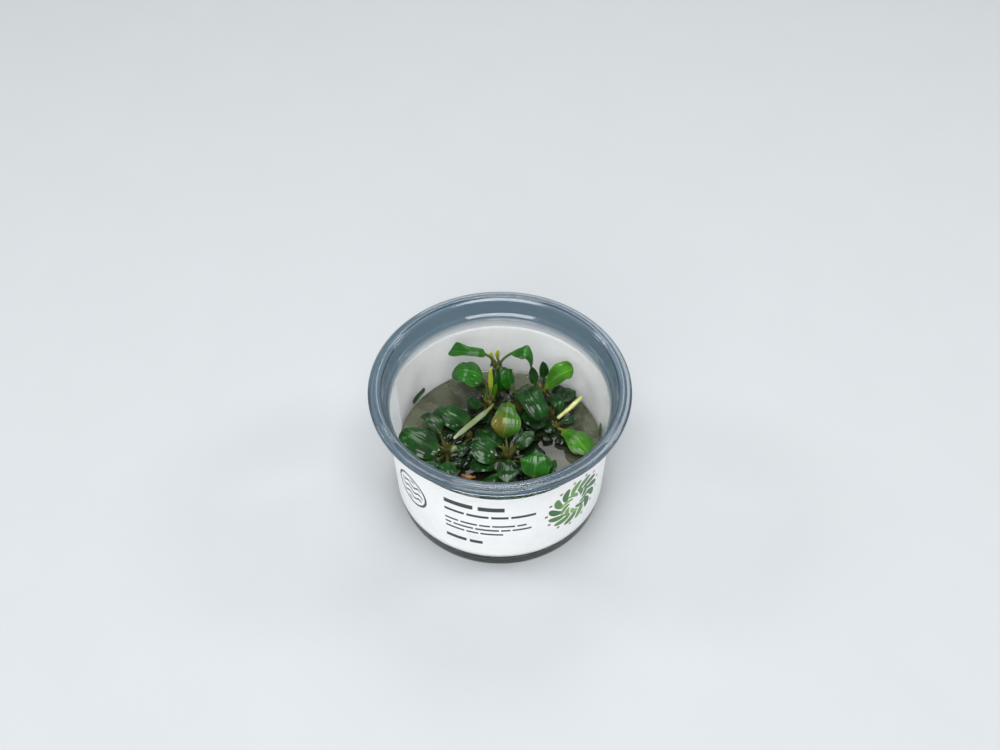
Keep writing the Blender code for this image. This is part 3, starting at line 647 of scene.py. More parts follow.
def gel_substance(gel):
    """Set agar with plant food in it: wet, level and faintly cloudy, darker the deeper it is, and painted darker
    towards the middle as shade under the clump.
    """
    material, tree = new_material("Agar gel, set")
    where = add(tree, "TexCoord")
    cloud = add(tree, "TexNoise", {"Vector": where.outputs["Object"], "Scale": 45.0, "Detail": 5.0,
                                   "Distortion": 0.6})
    split = add(tree, "SeparateXYZ", {"Vector": where.outputs["Object"]})
    round_about = add(tree, "Math", {0: split.outputs["Y"], 1: split.outputs["X"]}, operation="ARCTAN2")
    swirl = add(tree, "CombineXYZ", {"X": round_about, "Y": cloud})
    streak = add(tree, "TexNoise", {"Vector": swirl, "Scale": 5.0, "Detail": 3.0})
    both = add(tree, "Mix", {"Factor": 0.55, "A": cloud.outputs["Fac"], "B": streak.outputs["Fac"]},
               data_type="FLOAT")
    cloudy = ramp(tree, both, ((0.34, linear("#3a3f2e")), (0.66, linear("#80856e"))))
    level = add(tree, "VectorMath", {0: where.outputs["Object"], 1: (1.0, 1.0, 0.0)}, operation="MULTIPLY")
    reach = add(tree, "VectorMath", {0: level}, operation="LENGTH")
    # Painted shade: from 44 mm in to 26 mm from the middle, ragged with noise, the gel darkens to near-black
    # olive, standing in for the shade under the clump.
    ragged = add(tree, "Math", {0: cloud, 1: 0.02, 2: reach.outputs["Value"]}, operation="MULTIPLY_ADD")
    inner = add(tree, "MapRange", {"Value": ragged, "From Min": 0.044, "From Max": 0.026})
    tint = add(tree, "Mix", {"Factor": inner, "A": cloudy, "B": (*linear("#23261a"), 1.0)},
               data_type="RGBA")
    ridges = add(tree, "TexNoise", {"Vector": where.outputs["Object"], "Scale": 160.0, "Detail": 2.0})
    skin = add(tree, "Bump", {"Height": ridges, "Strength": 0.12, "Distance": 0.0004})
    shader = add(tree, "BsdfPrincipled", {
        "Base Color": tint, "Roughness": 0.07, "IOR": 1.34, "Transmission Weight": gel.clearness,
        "Normal": skin})
    depth = add(tree, "VolumeAbsorption", {"Color": (*gel.depth_tint, 1.0), "Density": gel.density})
    return finish_material(material, shader, depth)


# Leaf finishes: common name, shade colour, lit colour, nerve colour, petiole colour, light let through
LEAF_LOOKS = {
    "leaf_low": ("Waxy leaf, shaded", "#020c02", "#082a06", "#1a4012", "#323f16", 0.02),
    "leaf_deep": ("Waxy leaf, deep green", "#021402", "#0a4a06", "#26621a", "#46591f", 0.04),
    "leaf_mid": ("Waxy leaf, green", "#063202", "#166a06", "#468c26", "#55702a", 0.06),
    "leaf_bright": ("Waxy leaf, young", "#124a02", "#347a06", "#74a626", "#80943a", 0.06),
    "leaf_pale": ("Waxy leaf, pale underside", "#6c8450", "#a7bb88", "#c9d6ac", "#8f9b58", 0.15),
    "leaf_new": ("Rolled new leaf", "#9dba1c", "#d2e23a", "#e2ea80", "#9aa640", 0.25),
    "leaf_stub": ("Old petiole", "#39451a", "#76793a", "#8d8d50", "#6d6a34", 0.08),
    "leaf_worn": ("Waxy leaf, browning", "#123c0a", "#37751c", "#72943a", "#586226", 0.06),
}


def leaf_skin(slot):
    """Waxy leaf of a slow water plant: wet gloss over fine lengthwise nerves, paler at the margin."""
    title, shade, lit, nerve, petiole, glow = LEAF_LOOKS[slot]
    material, tree = new_material(title)
    where = add(tree, "TexCoord")
    split = add(tree, "SeparateXYZ", {"Vector": where.outputs["UV"]})
    along = split.outputs["X"]
    across = split.outputs["Y"]
    mottle = add(tree, "TexNoise", {"Vector": where.outputs["Object"], "Scale": 170.0, "Detail": 4.0})
    tint = ramp(tree, mottle, ((0.32, linear(shade)), (0.72, linear(lit))))
    stripes = add(tree, "TexWave", {
        "Vector": where.outputs["UV"], "Scale": 8.0, "Distortion": 1.0, "Detail": 1.5,
        "Detail Scale": 1.6}, wave_type="BANDS", bands_direction="Y")
    stripe_share = add(tree, "Math", {0: stripes, 1: 0.16}, operation="MULTIPLY")
    striped = add(tree, "Mix", {"Factor": stripe_share, "A": tint, "B": (*linear(nerve), 1.0)},
                  data_type="RGBA")
    middle = add(tree, "Math", {0: across, 1: 0.5}, operation="SUBTRACT")
    away = add(tree, "Math", {0: middle}, operation="ABSOLUTE")
    rib = add(tree, "MapRange", {"Value": away, "From Min": 0.05, "From Max": 0.0, "To Max": 0.55})
    ribbed = add(tree, "Mix", {"Factor": rib, "A": striped, "B": (*linear(nerve), 1.0)}, data_type="RGBA")
    edge = add(tree, "MapRange", {"Value": away, "From Min": 0.455, "From Max": 0.5, "To Max": 0.5})
    edged = add(tree, "Mix", {"Factor": edge, "A": ribbed, "B": (*linear(nerve), 1.0)}, data_type="RGBA")
    stalk = add(tree, "MapRange", {"Value": along, "From Min": 0.36, "From Max": 0.22})
    colour = add(tree, "Mix", {"Factor": stalk, "A": edged, "B": (*linear(petiole), 1.0)}, data_type="RGBA")
    if slot == "leaf_worn":
        patch_noise = add(tree, "TexNoise", {"Vector": where.outputs["UV"], "Scale": 5.0, "Detail": 4.0})
        start = add(tree, "MapRange", {"Value": along, "From Min": 0.4, "From Max": 0.62})
        end = add(tree, "MapRange", {"Value": along, "From Min": 0.93, "From Max": 0.84})
        ripe = add(tree, "Math", {0: start, 1: end}, operation="MULTIPLY")
        half = add(tree, "MapRange", {"Value": across, "From Min": 0.72, "From Max": 0.25})
        zone = add(tree, "Math", {0: ripe, 1: half}, operation="MULTIPLY")
        sum_up = add(tree, "Math", {0: zone, 1: patch_noise}, operation="ADD")
        patch = add(tree, "MapRange", {"Value": sum_up, "From Min": 0.6, "From Max": 1.25, "To Max": 0.85})
        colour = add(tree, "Mix", {"Factor": patch, "A": colour, "B": (*linear("#5f5312"), 1.0)},
                     data_type="RGBA")
    grit = add(tree, "TexNoise", {"Vector": where.outputs["Object"], "Scale": 900.0, "Detail": 2.0})
    gloss = add(tree, "MapRange", {"Value": mottle, "To Min": 0.22, "To Max": 0.42})
    coarse = add(tree, "Bump", {"Height": stripes, "Strength": 0.9, "Distance": 0.00020})
    fine = add(tree, "Bump", {"Height": grit, "Strength": 0.25, "Distance": 0.00006, "Normal": coarse})
    shader = add(tree, "BsdfPrincipled", {
        "Base Color": colour, "Roughness": gloss, "IOR": 1.45, "Normal": fine,
        "Subsurface Weight": glow, "Subsurface Radius": (0.4, 1.0, 0.15), "Subsurface Scale": 0.0012,
        "Specular IOR Level": 0.12,
        "Coat Weight": 0.5, "Coat Roughness": 0.05, "Coat IOR": 1.5})
    return finish_material(material, shader)


def rhizome_bark():
    """Creeping woody stem: olive where young, brown and ringed with scars where old."""
    material, tree = new_material("Rhizome bark")
    where = add(tree, "TexCoord")
    mottle = add(tree, "TexNoise", {"Vector": where.outputs["Object"], "Scale": 400.0, "Detail": 5.0})
    old = ramp(tree, mottle, ((0.3, linear("#3a2c18")), (0.55, linear("#6d5c2e")), (0.8, linear("#8c8a48"))))
    young = ramp(tree, mottle, ((0.3, linear("#1f2b10")), (0.75, linear("#53602a"))))
    split = add(tree, "SeparateXYZ", {"Vector": where.outputs["UV"]})
    rise = add(tree, "MapRange", {"Value": split.outputs["X"], "From Min": 0.35, "From Max": 0.1})
    tint = add(tree, "Mix", {"Factor": rise, "A": old, "B": young}, data_type="RGBA")
    rings = add(tree, "TexWave", {"Vector": where.outputs["UV"], "Scale": 3.0, "Distortion": 2.0},
                wave_type="BANDS", bands_direction="X")
    relief = add(tree, "Bump", {"Height": rings, "Strength": 0.6, "Distance": 0.0002})
    shader = add(tree, "BsdfPrincipled", {"Base Color": tint, "Roughness": 0.5, "Normal": relief,
                                          "Coat Weight": 0.3, "Coat Roughness": 0.2})
    return finish_material(material, shader)


def plain_tissue(title, dark, light, roughness):
    """Soft plant tissue: streaked from one colour to the other, satin where wet."""
    material, tree = new_material(title)
    where = add(tree, "TexCoord")
    mottle = add(tree, "TexNoise", {"Vector": where.outputs["Object"], "Scale": 350.0, "Detail": 4.0})
    tint = ramp(tree, mottle, ((0.3, linear(dark)), (0.75, linear(light))))
    relief = add(tree, "Bump", {"Height": mottle, "Strength": 0.4, "Distance": 0.0001})
    shader = add(tree, "BsdfPrincipled", {"Base Color": tint, "Roughness": roughness, "Normal": relief,
                                          "Coat Weight": 0.3, "Coat Roughness": 0.15})
    return finish_material(material, shader)


def printed_row(tree, x, y, row):
    """One row of dark bars, in place of words."""
    height, tall, bars = row
    in_row = add(tree, "Math", {0: y, 1: height, 2: 0.5 * tall}, operation="COMPARE")
    marks = None
    for start, end in bars:
        bar = add(tree, "Math", {0: x, 1: 0.5 * (start + end), 2: 0.5 * (end - start)}, operation="COMPARE")
        marks = add(tree, "Math", {0: marks, 1: bar}, operation="ADD") if marks else bar
    return add(tree, "Math", {0: marks, 1: in_row}, operation="MULTIPLY")


def from_point(tree, x, y, place):
    """Distance from a place on the label, and the angle there."""
    right = add(tree, "Math", {0: x, 1: place[0]}, operation="SUBTRACT")
    up = add(tree, "Math", {0: y, 1: place[1]}, operation="SUBTRACT")
    both = add(tree, "CombineXYZ", {"X": right, "Y": up})
    distance = add(tree, "VectorMath", {0: both}, operation="LENGTH")
    angle = add(tree, "Math", {0: up, 1: right}, operation="ARCTAN2")
    return right, up, distance.outputs["Value"], angle


def water_sign(tree, x, y):
    """A printed ring with three waves in it."""
    right, up, distance, _ = from_point(tree, x, y, SIGN_PLACE)
    ring = add(tree, "Math", {0: distance, 1: 8.2, 2: 0.55}, operation="COMPARE")
    inside = add(tree, "Math", {0: distance, 1: 6.6}, operation="LESS_THAN")
    swing = add(tree, "Math", {0: right, 1: 1.05}, operation="MULTIPLY")
    swell = add(tree, "Math", {0: swing}, operation="SINE")
    raised = add(tree, "Math", {0: swell, 1: 0.8, 2: up}, operation="MULTIPLY_ADD")
    spaced = add(tree, "Math", {0: raised, 1: 1.0 / 3.4, 2: 0.5}, operation="MULTIPLY_ADD")
    within = add(tree, "Math", {0: spaced}, operation="FRACT")
    line = add(tree, "Math", {0: within, 1: 0.5, 2: 0.17}, operation="COMPARE")
    waves = add(tree, "Math", {0: inside, 1: line}, operation="MULTIPLY")
    return add(tree, "Math", {0: ring, 1: waves}, operation="MAXIMUM")


def wreath_ring(tree, distance, angle, ring, under):
    """One ring of printed leaves or berries over what is under it."""
    count, middle, reach, width, slant, dark, light = ring
    out = add(tree, "Math", {0: distance, 1: 1.0 / reach, 2: -middle / reach}, operation="MULTIPLY_ADD")
    turns = add(tree, "Math", {0: angle, 1: count / (2.0 * math.pi), 2: 40.0}, operation="MULTIPLY_ADD")
    swept = add(tree, "Math", {0: out, 1: slant, 2: turns}, operation="MULTIPLY_ADD")
    cell = add(tree, "Math", {0: swept}, operation="FLOOR")
    within = add(tree, "Math", {0: swept}, operation="FRACT")
    aside = add(tree, "Math", {0: within, 1: 1.0 / width, 2: -0.5 / width}, operation="MULTIPLY_ADD")
    both = add(tree, "CombineXYZ", {"X": out, "Y": aside})
    spread = add(tree, "VectorMath", {0: both}, operation="LENGTH")
    mark = add(tree, "Math", {0: spread.outputs["Value"], 1: 1.0}, operation="LESS_THAN")
    chance = add(tree, "TexWhiteNoise", {"W": cell}, noise_dimensions="1D")
    tint = ramp(tree, chance.outputs["Value"], ((0.0, linear(dark)), (1.0, linear(light))))
    return add(tree, "Mix", {"Factor": mark, "A": under, "B": tint}, data_type="RGBA")


def label_paper(title, label, angles, rows, signs):
    """Gloss-coated label paper: white, smooth and even, with flat dark print."""
    material, tree = new_material(title)
    where = add(tree, "TexCoord")
    split = add(tree, "SeparateXYZ", {"Vector": where.outputs["UV"]})
    arc = math.radians(angles[1] - angles[0]) * SHOULDER_RADIUS
    x = add(tree, "Math", {0: split.outputs["X"], 1: arc, 2: -0.5 * arc}, operation="MULTIPLY_ADD")
    y = add(tree, "Math", {0: split.outputs["Y"], 1: LABEL_TOP - LABEL_BOTTOM}, operation="MULTIPLY")
    fibre = add(tree, "TexNoise", {"Vector": where.outputs["Object"], "Scale": 260.0, "Detail": 5.0})
    paper = ramp(tree, fibre, ((0.3, tuple(0.96 * part for part in label.paper)), (0.7, label.paper)))
    ink = None
    for row in rows:
        mark = printed_row(tree, x, y, row)
        ink = add(tree, "Math", {0: ink, 1: mark}, operation="MAXIMUM") if ink else mark
    if signs:
        ink = add(tree, "Math", {0: ink, 1: water_sign(tree, x, y)}, operation="MAXIMUM")
    colour = paper
    if ink:
        colour = add(tree, "Mix", {"Factor": ink, "A": colour, "B": (*label.ink, 1.0)}, data_type="RGBA")
    if signs:
        _, _, distance, angle = from_point(tree, x, y, WREATH_PLACE)
        for ring in WREATH_RINGS:
            colour = wreath_ring(tree, distance, angle, ring, colour)
    relief = add(tree, "Bump", {"Height": fibre, "Strength": 0.12, "Distance": 0.0001})
    shader = add(tree, "BsdfPrincipled", {
        "Base Color": colour, "Roughness": 0.38, "Normal": relief, "Subsurface Weight": 0.5,
        "Subsurface Radius": (1.0, 1.0, 1.0), "Subsurface Scale": 0.0004})
    return finish_material(material, shader)


def floor_paper(stage):
    """Matt studio paper: pale, even, with the faintest mottling."""
    material, tree = new_material("Matt studio paper")
    where = add(tree, "TexCoord")
    mottle = add(tree, "TexNoise", {"Vector": where.outputs["Object"], "Scale": 30.0, "Detail": 3.0})
    tint = ramp(tree, mottle, ((0.3, tuple(0.985 * part for part in stage.floor)), (0.7, stage.floor)))
    shader = add(tree, "BsdfPrincipled", {"Base Color": tint, "Roughness": 0.75})
    return finish_material(material, shader)


# Sizes and colours that a user would change


class CupSettings(bpy.types.PropertyGroup):
    """The moulded cup."""
    tint: bpy.props.FloatVectorProperty(
        name="Wall tint", description="Colour that the thin wall gives to what is behind it",
        subtype="COLOR", size=3, min=0.0, max=1.0, default=linear("#fdfefe"))
    neck_tint: bpy.props.FloatVectorProperty(
        name="Neck tint", description="Colour that the neck and rim give to what is behind them",
        subtype="COLOR", size=3, min=0.0, max=1.0, default=linear("#708492"))
    clearness: bpy.props.FloatProperty(
        name="Clearness", description="Share of light that passes the plastic",
        subtype="FACTOR", min=0.0, max=1.0, default=0.85)


class LabelSettings(bpy.types.PropertyGroup):
    """The paper labels."""
    thickness: bpy.props.FloatProperty(
        name="Thickness", description="Thickness of the label paper",
        unit="LENGTH", min=0.0001, max=0.001, precision=5, default=LABEL_THICKNESS * MM)
    paper: bpy.props.FloatVectorProperty(
        name="Paper", description="Colour of the bare paper",
        subtype="COLOR", size=3, min=0.0, max=1.0, default=linear("#f2f4f5"))
    ink: bpy.props.FloatVectorProperty(
        name="Ink", description="Colour of the printed blocks",
        subtype="COLOR", size=3, min=0.0, max=1.0, default=linear("#2b3033"))


class GelSettings(bpy.types.PropertyGroup):
    """The nutrient gel."""
    clearness: bpy.props.FloatProperty(
        name="Clearness", description="Share of light that passes the gel's surface",
        subtype="FACTOR", min=0.0, max=1.0, default=0.5)
    depth_tint: bpy.props.FloatVectorProperty(
        name="Depth tint", description="Colour that the gel takes on with depth",
        subtype="COLOR", size=3, min=0.0, max=1.0, default=linear("#c2c3ac"))
    density: bpy.props.FloatProperty(
        name="Depth", description="How fast the gel darkens with depth",
        min=0.0, max=500.0, default=30.0)


class PlantSettings(bpy.types.PropertyGroup):
    """The shoots and their leaves."""
    steps_along: bpy.props.IntProperty(
        name="Steps along", description="Faces along a leaf", min=12, max=120, default=LEAF_STEPS[0])
    steps_around: bpy.props.IntProperty(
        name="Steps around", description="Faces round a leaf", min=12, max=160, default=LEAF_STEPS[1])
    seed: bpy.props.IntProperty(
        name="Seed", description="Picks the turns of the small leaves low in the clump", default=11)


class StageSettings(bpy.types.PropertyGroup):
    """Floor, light and camera."""
    floor: bpy.props.FloatVectorProperty(
        name="Floor", description="Colour of the studio paper",
        subtype="COLOR", size=3, min=0.0, max=1.0, default=linear("#a3a7aa"))
    sky: bpy.props.FloatProperty(
        name="Sky", description="Strength of the even light all round", min=0.0, max=5.0, default=0.36)
    lens: bpy.props.FloatProperty(
        name="Lens", description="Focal length in millimetres", min=10.0, max=300.0, default=CAMERA_LENS)
    pitch: bpy.props.FloatProperty(
        name="Pitch", description="Angle that the camera looks down by",
        subtype="ANGLE", min=0.0, max=math.pi / 2.0, default=math.radians(CAMERA_PITCH))


class CupPlantSettings(bpy.types.PropertyGroup):
    """All settings of the cup plant."""
    cup: bpy.props.PointerProperty(type=CupSettings)
    label: bpy.props.PointerProperty(type=LabelSettings)
    gel: bpy.props.PointerProperty(type=GelSettings)
    plant: bpy.props.PointerProperty(type=PlantSettings)
    stage: bpy.props.PointerProperty(type=StageSettings)


# One operator for each piece or group of like pieces


class CUP_PLANT_OT_cup(bpy.types.Operator):
    """Turn the see-through cup with its neck, bead and rolled rim"""
    bl_idname = "cup_plant.cup"
    bl_label = "Cup"

    def execute(self, context):
        piece = turned("cup_wall", rounded_profile(CUP_CORNERS))
        settle(piece, cup_plastic(context.scene.cup_plant.cup), "clear_plastic", "cup")
        return {"FINISHED"}


class CUP_PLANT_OT_labels(bpy.types.Operator):
    """Wrap the two paper labels round the wall"""
    bl_idname = "cup_plant.labels"
    bl_label = "Labels"

    def execute(self, context):
        label = context.scene.cup_plant.label
        sheets = (
            ("label_front", FRONT_LABEL_ANGLES, "Gloss label paper, front print", PRINT_ROWS, True),
            ("label_back", BACK_LABEL_ANGLES, "Gloss label paper, back print", BACK_PRINT_ROWS, False),
        )
        plain = label_paper("Label paper, glued side", label, FRONT_LABEL_ANGLES, (), False)
        for node, angles, title, rows, signs in sheets:
            piece = grid_piece(node + "_paper", LABEL_STEPS, self.wrapped(angles, label.thickness / MM))
            printed = label_paper(title, label, angles, rows, signs)
            settle(piece, printed, "label_paper", node)
            piece.data.materials.append(plain)
            sheet = piece.modifiers.new("paper", "SOLIDIFY")
            sheet.thickness = label.thickness
            sheet.offset = -1.0
            sheet.material_offset = 1
            bpy.ops.object.modifier_apply(modifier=sheet.name)
            bpy.ops.object.shade_smooth()
        return {"FINISHED"}

    @staticmethod
    def wrapped(angles, thickness):
        """A label's outer face, its print the right way round for someone outside."""
        def surface(along, up):
            angle = math.radians(angles[0] + (angles[1] - angles[0]) * along)
            height = LABEL_BOTTOM + (LABEL_TOP - LABEL_BOTTOM) * up
            radius = wall_outer(height) + GAP + thickness
            return Vector((radius * math.cos(angle), radius * math.sin(angle), height)), (along, up)

        return surface


class CUP_PLANT_OT_gel(bpy.types.Operator):
    """Pour the nutrient gel that climbs a little at the wall"""
    bl_idname = "cup_plant.gel"
    bl_label = "Nutrient gel"

    def execute(self, context):
        edge = wall_inner(GEL_LEVEL) - GAP
        corners = [(0.0, GEL_LEVEL, 0.0)]
        corners += [(radius, GEL_LEVEL, 0.2) for radius in range(2, int(edge) - 2, 2)]
        corners += [
            (edge - 2.5, GEL_LEVEL, 0.6),
            (edge - 0.8, GEL_LEVEL + 0.3 * GEL_MENISCUS, 0.4),
            (edge, GEL_LEVEL + GEL_MENISCUS, 0.1),
            (wall_inner(3.0) - GAP - 0.1, 3.4, 1.0),
            (wall_inner(3.0) - 1.8, FLOOR_TOP + GAP, 0.8),
            (0.0, FLOOR_TOP + GAP, 0.0),
        ]
        piece = turned("gel_body", rounded_profile(corners))
        settle(piece, gel_substance(context.scene.cup_plant.gel), "gel", "nutrient_gel")
        return {"FINISHED"}


class CUP_PLANT_OT_rhizomes(bpy.types.Operator):
    """Grow each shoot's rhizome with its root tail"""
    bl_idname = "cup_plant.rhizomes"
    bl_label = "Rhizomes"

    def execute(self, context):
        bark = rhizome_bark()
        radii = (TAIL_RADIUS, 1.1, STEM_RADIUS * 1.3, STEM_RADIUS * 1.15, STEM_RADIUS)
        for seed, (shoot, (crown, tail)) in enumerate(SHOOTS.items()):
            bend = (crown[0] * 0.85 + tail[0] * 0.15, crown[1] * 0.85 + tail[1] * 0.15,
                    0.5 * (crown[2] + tail[2]))
            piece = grid_piece(shoot + "_rhizome", ROD_STEPS, rod_surface((tail, bend, crown), radii, 0.28, seed))
            settle(close_up(piece), bark, "rhizome", shoot + "_stem")
        return {"FINISHED"}


class CUP_PLANT_OT_leaves(bpy.types.Operator):
    """Grow the leaves, each a petiole that widens into a waved blade"""
    bl_idname = "cup_plant.leaves"
    bl_label = "Leaves"

    def execute(self, context):
        plant = context.scene.cup_plant.plant
        skins = {slot: leaf_skin(slot) for slot in LEAF_LOOKS}
        for order, (name, row) in enumerate(LEAVES.items()):
            steps = SPIKE_STEPS if row[7] == "spike" else (plant.steps_along, plant.steps_around)
            piece = close_up(grid_piece(name + "_blade", steps, leaf_surface(row, order)))
            slot = LEAF_SKINS.get(name, "leaf_deep")
            settle(piece, skins[slot], slot, name)
        return {"FINISHED"}


class CUP_PLANT_OT_bracts(bpy.types.Operator):
    """Stand the sheaths and old petiole stubs round each crown"""
    bl_idname = "cup_plant.bracts"
    bl_label = "Bracts"

    def execute(self, context):
        chance = random.Random(context.scene.cup_plant.plant.seed + 1)
        skins = (leaf_skin("leaf_stub"), plain_tissue("Dry sheath", "#2c2814", "#67602f", 0.5))
        for shoot, (count, tall) in BRACTS.items():
            crown = Vector(SHOOTS[shoot][0])
            for number in range(count):
                angle = 360.0 * number / count + chance.uniform(-20.0, 20.0)
                out = Vector((math.cos(math.radians(angle)), math.sin(math.radians(angle)), 0.0))
                height = tall * chance.uniform(0.55, 1.1)
                lean = chance.uniform(0.15, 0.45)
                root = crown + out * 0.9 - Vector((0.0, 0.0, 1.4))
                points = [root + Vector((0.0, 0.0, height * part)) + out * lean * height * part ** 1.6
                          for part in (0.0, 0.35, 0.7, 1.0)]
                thick = chance.uniform(0.45, 0.75)
                radii = (thick, thick * 1.15, thick * 0.9, thick * 0.25)
                surface = rod_surface(points, radii, 0.2, number)
                piece = close_up(grid_piece(f"{shoot}_bract_{number}", BRACT_STEPS, surface))
                settle(piece, skins[number % 3 == 2], "rhizome")
        return {"FINISHED"}


class CUP_PLANT_OT_roots(bpy.types.Operator):
    """Spread thin roots through the gel from the foot of each shoot"""
    bl_idname = "cup_plant.roots"
    bl_label = "Roots"

    def execute(self, context):
        chance = random.Random(context.scene.cup_plant.plant.seed + 2)
        skin = plain_tissue("Young root", "#6e5a34", "#b49a66", 0.5)
        for shoot, (_, tail) in SHOOTS.items():
            away = math.degrees(math.atan2(tail[1], tail[0]))
            for number in range(ROOTS_PER_SHOOT):
                angle = math.radians(away + chance.uniform(-100.0, 100.0))
                out = Vector((math.cos(angle), math.sin(angle), 0.0))
                start = Vector(tail) + Vector((0.0, 0.0, chance.uniform(1.0, 9.0)))
                reach = chance.uniform(8.0, 16.0)
                end = start + out * reach
                limit = wall_inner(0.0) - 2.5
                flat = Vector((end.x, end.y, 0.0))
                if flat.length > limit:
                    flat = flat.normalized() * limit
                end = Vector((flat.x, flat.y, FLOOR_TOP + 1.0 + chance.uniform(0.0, 1.5)))
                aside = Vector((-out.y, out.x, 0.0)) * chance.uniform(-2.0, 2.0)
                middle = start.lerp(end, 0.5) + aside + Vector((0.0, 0.0, 0.8))
                surface = rod_surface((start, middle, end), (0.4, 0.32, 0.2), 0.3, number)
                piece = close_up(grid_piece(f"{shoot}_root_{number}", ROOT_STEPS, surface))
                settle(piece, skin, "rhizome")
        return {"FINISHED"}


class CUP_PLANT_OT_under_leaves(bpy.types.Operator):
    """Fill the foot of the clump with small dark leaves, each where it has room"""
    bl_idname = "cup_plant.under_leaves"
    bl_label = "Under leaves"

    def execute(self, context):
        chance = random.Random(context.scene.cup_plant.plant.seed)
        skin = leaf_skin("leaf_low")
        grown = [self.tree_of(context.scene.objects[name + "_blade"].data) for name in LEAVES]
        for shoot, places in UNDER_LEAVES.items():
            for number, (side, reach) in enumerate(places):
                row = self.row_with_room(shoot, side, reach, chance, grown)
                if row:
                    name = f"{shoot}_under_{number}"
                    surface = leaf_surface(row, 50 + 3 * len(grown))
                    piece = close_up(grid_piece(name, UNDER_LEAF_STEPS, surface))
                    settle(piece, skin, "leaf_deep")
                    grown.append(self.tree_of(piece.data))
        return {"FINISHED"}

    @staticmethod
    def tree_of(mesh):
        corners = [vertex.co / MM for vertex in mesh.vertices]
        return BVHTree.FromPolygons(corners, [face.vertices for face in mesh.polygons])

    @staticmethod
    def row_with_room(shoot, side, reach, chance, grown):
        """Try a few small turns and heights until the leaf crosses nothing that has grown."""
        crown = Vector(SHOOTS[shoot][0])
        for attempt in range(UNDER_LEAF_TRIES):
            angle = side + chance.uniform(-18.0, 18.0)
            out = Vector((math.cos(math.radians(angle)), math.sin(math.radians(angle)), 0.0))
            base = min(crown.z - 1.2, UNDER_LEAF_LEVELS[attempt % len(UNDER_LEAF_LEVELS)])
            rise = chance.uniform(0.0, 3.6)
            long = CROWN_CLEARANCE + reach * chance.uniform(0.85, 1.1)
            neck = max(CROWN_CLEARANCE + 0.28 * long, long - 9.5)
            neck_at = crown + out * neck
            belly_at = crown + out * (0.45 * neck + 0.55 * long)
            tip_at = crown + out * long
            neck_at.z = base + 0.3 * rise
            belly_at.z = base + 0.7 + rise
            tip_at.z = base - chance.uniform(0.6, 1.6) + rise
            row = (shoot, angle, crown.z - base, tuple(neck_at), tuple(belly_at), tuple(tip_at),
                   min(8.5, 0.75 * reach) * chance.uniform(0.8, 1.1), "oval",
                   chance.uniform(-25.0, 25.0), -0.2, 0.06)
            surface = leaf_surface(row, 50 + 3 * len(grown))
            columns, rows = PROBE_STEPS
            corners = [surface(i / columns, j / rows)[0] for i in range(columns + 1) for j in range(rows + 1)]
            inside = all(math.hypot(corner.x, corner.y) < wall_inner(GEL_LEVEL) - 1.0 for corner in corners)
            faces = [(i * (rows + 1) + j, i * (rows + 1) + j + 1, (i + 1) * (rows + 1) + j + 1,
                      (i + 1) * (rows + 1) + j) for i in range(columns) for j in range(rows)]
            probe = BVHTree.FromPolygons(corners, faces)
            if inside and not any(probe.overlap(tree) for tree in grown):
                return row
        return None


class CUP_PLANT_OT_loose_bits(bpy.types.Operator):
    """Lay the cut stalk, the dead root and the torn scraps on the wall"""
    bl_idname = "cup_plant.loose_bits"
    bl_label = "Loose bits"

    def execute(self, context):
        reach = OLD_STALK_RADIUS
        radii = (reach * 0.8, reach, reach, reach * 0.9)
        piece = grid_piece("old_stalk_skin", ROD_STEPS, rod_surface(OLD_STALK, radii, 0.12, 40))
        straw = plain_tissue("Cut stalk, drying", "#8f9a4c", "#c9c98a", 0.4)
        settle(close_up(piece), straw, "leaf_pale", "old_stalk")
        reach = DEAD_ROOT_RADIUS
        radii = (reach * 0.6, reach, reach, reach * 0.5)
        piece = grid_piece("dead_root_skin", ROD_STEPS, rod_surface(DEAD_ROOT, radii, 0.4, 41))
        settle(close_up(piece), plain_tissue("Dead root", "#5c3415", "#9c6a34", 0.55), "dead", "dead_root")
        torn = plain_tissue("Torn leaf, wet", "#12301a", "#3a6a3a", 0.3)
        for name, row in SCRAPS.items():
            piece = grid_piece(name + "_skin", SCRAP_STEPS, self.scrap(*row))
            settle(close_up(piece), torn, "leaf_deep", name)
        return {"FINISHED"}

    @staticmethod
    def scrap(angle, height, tilt, share):
        """A torn bit of leaf, a thin pillow lying flat on the inside of the wall."""
        length, breadth, thickness = SCRAP_SIZE
        turn = math.radians(tilt)

        def surface(along, around):
            run = (along - 0.5) * length * share
            half = 0.5 * breadth * max(0.0, 1.0 - (2.0 * along - 1.0) ** 8) ** 0.5
            half *= 1.0 + 0.3 * noise.noise(Vector((3.0 * along, around, angle)))
            across = half * math.cos(2.0 * math.pi * around)
            depth = 0.5 * thickness * (1.0 + math.sin(2.0 * math.pi * around) * min(1.0, half))
            level = height + run * math.sin(turn) + across * math.cos(turn)
            radius = wall_inner(level) - GAP - depth
            swing = math.radians(angle) - (run * math.cos(turn) - across * math.sin(turn)) / radius
            return Vector((radius * math.cos(swing), radius * math.sin(swing), level)), (along, around)

        return surface


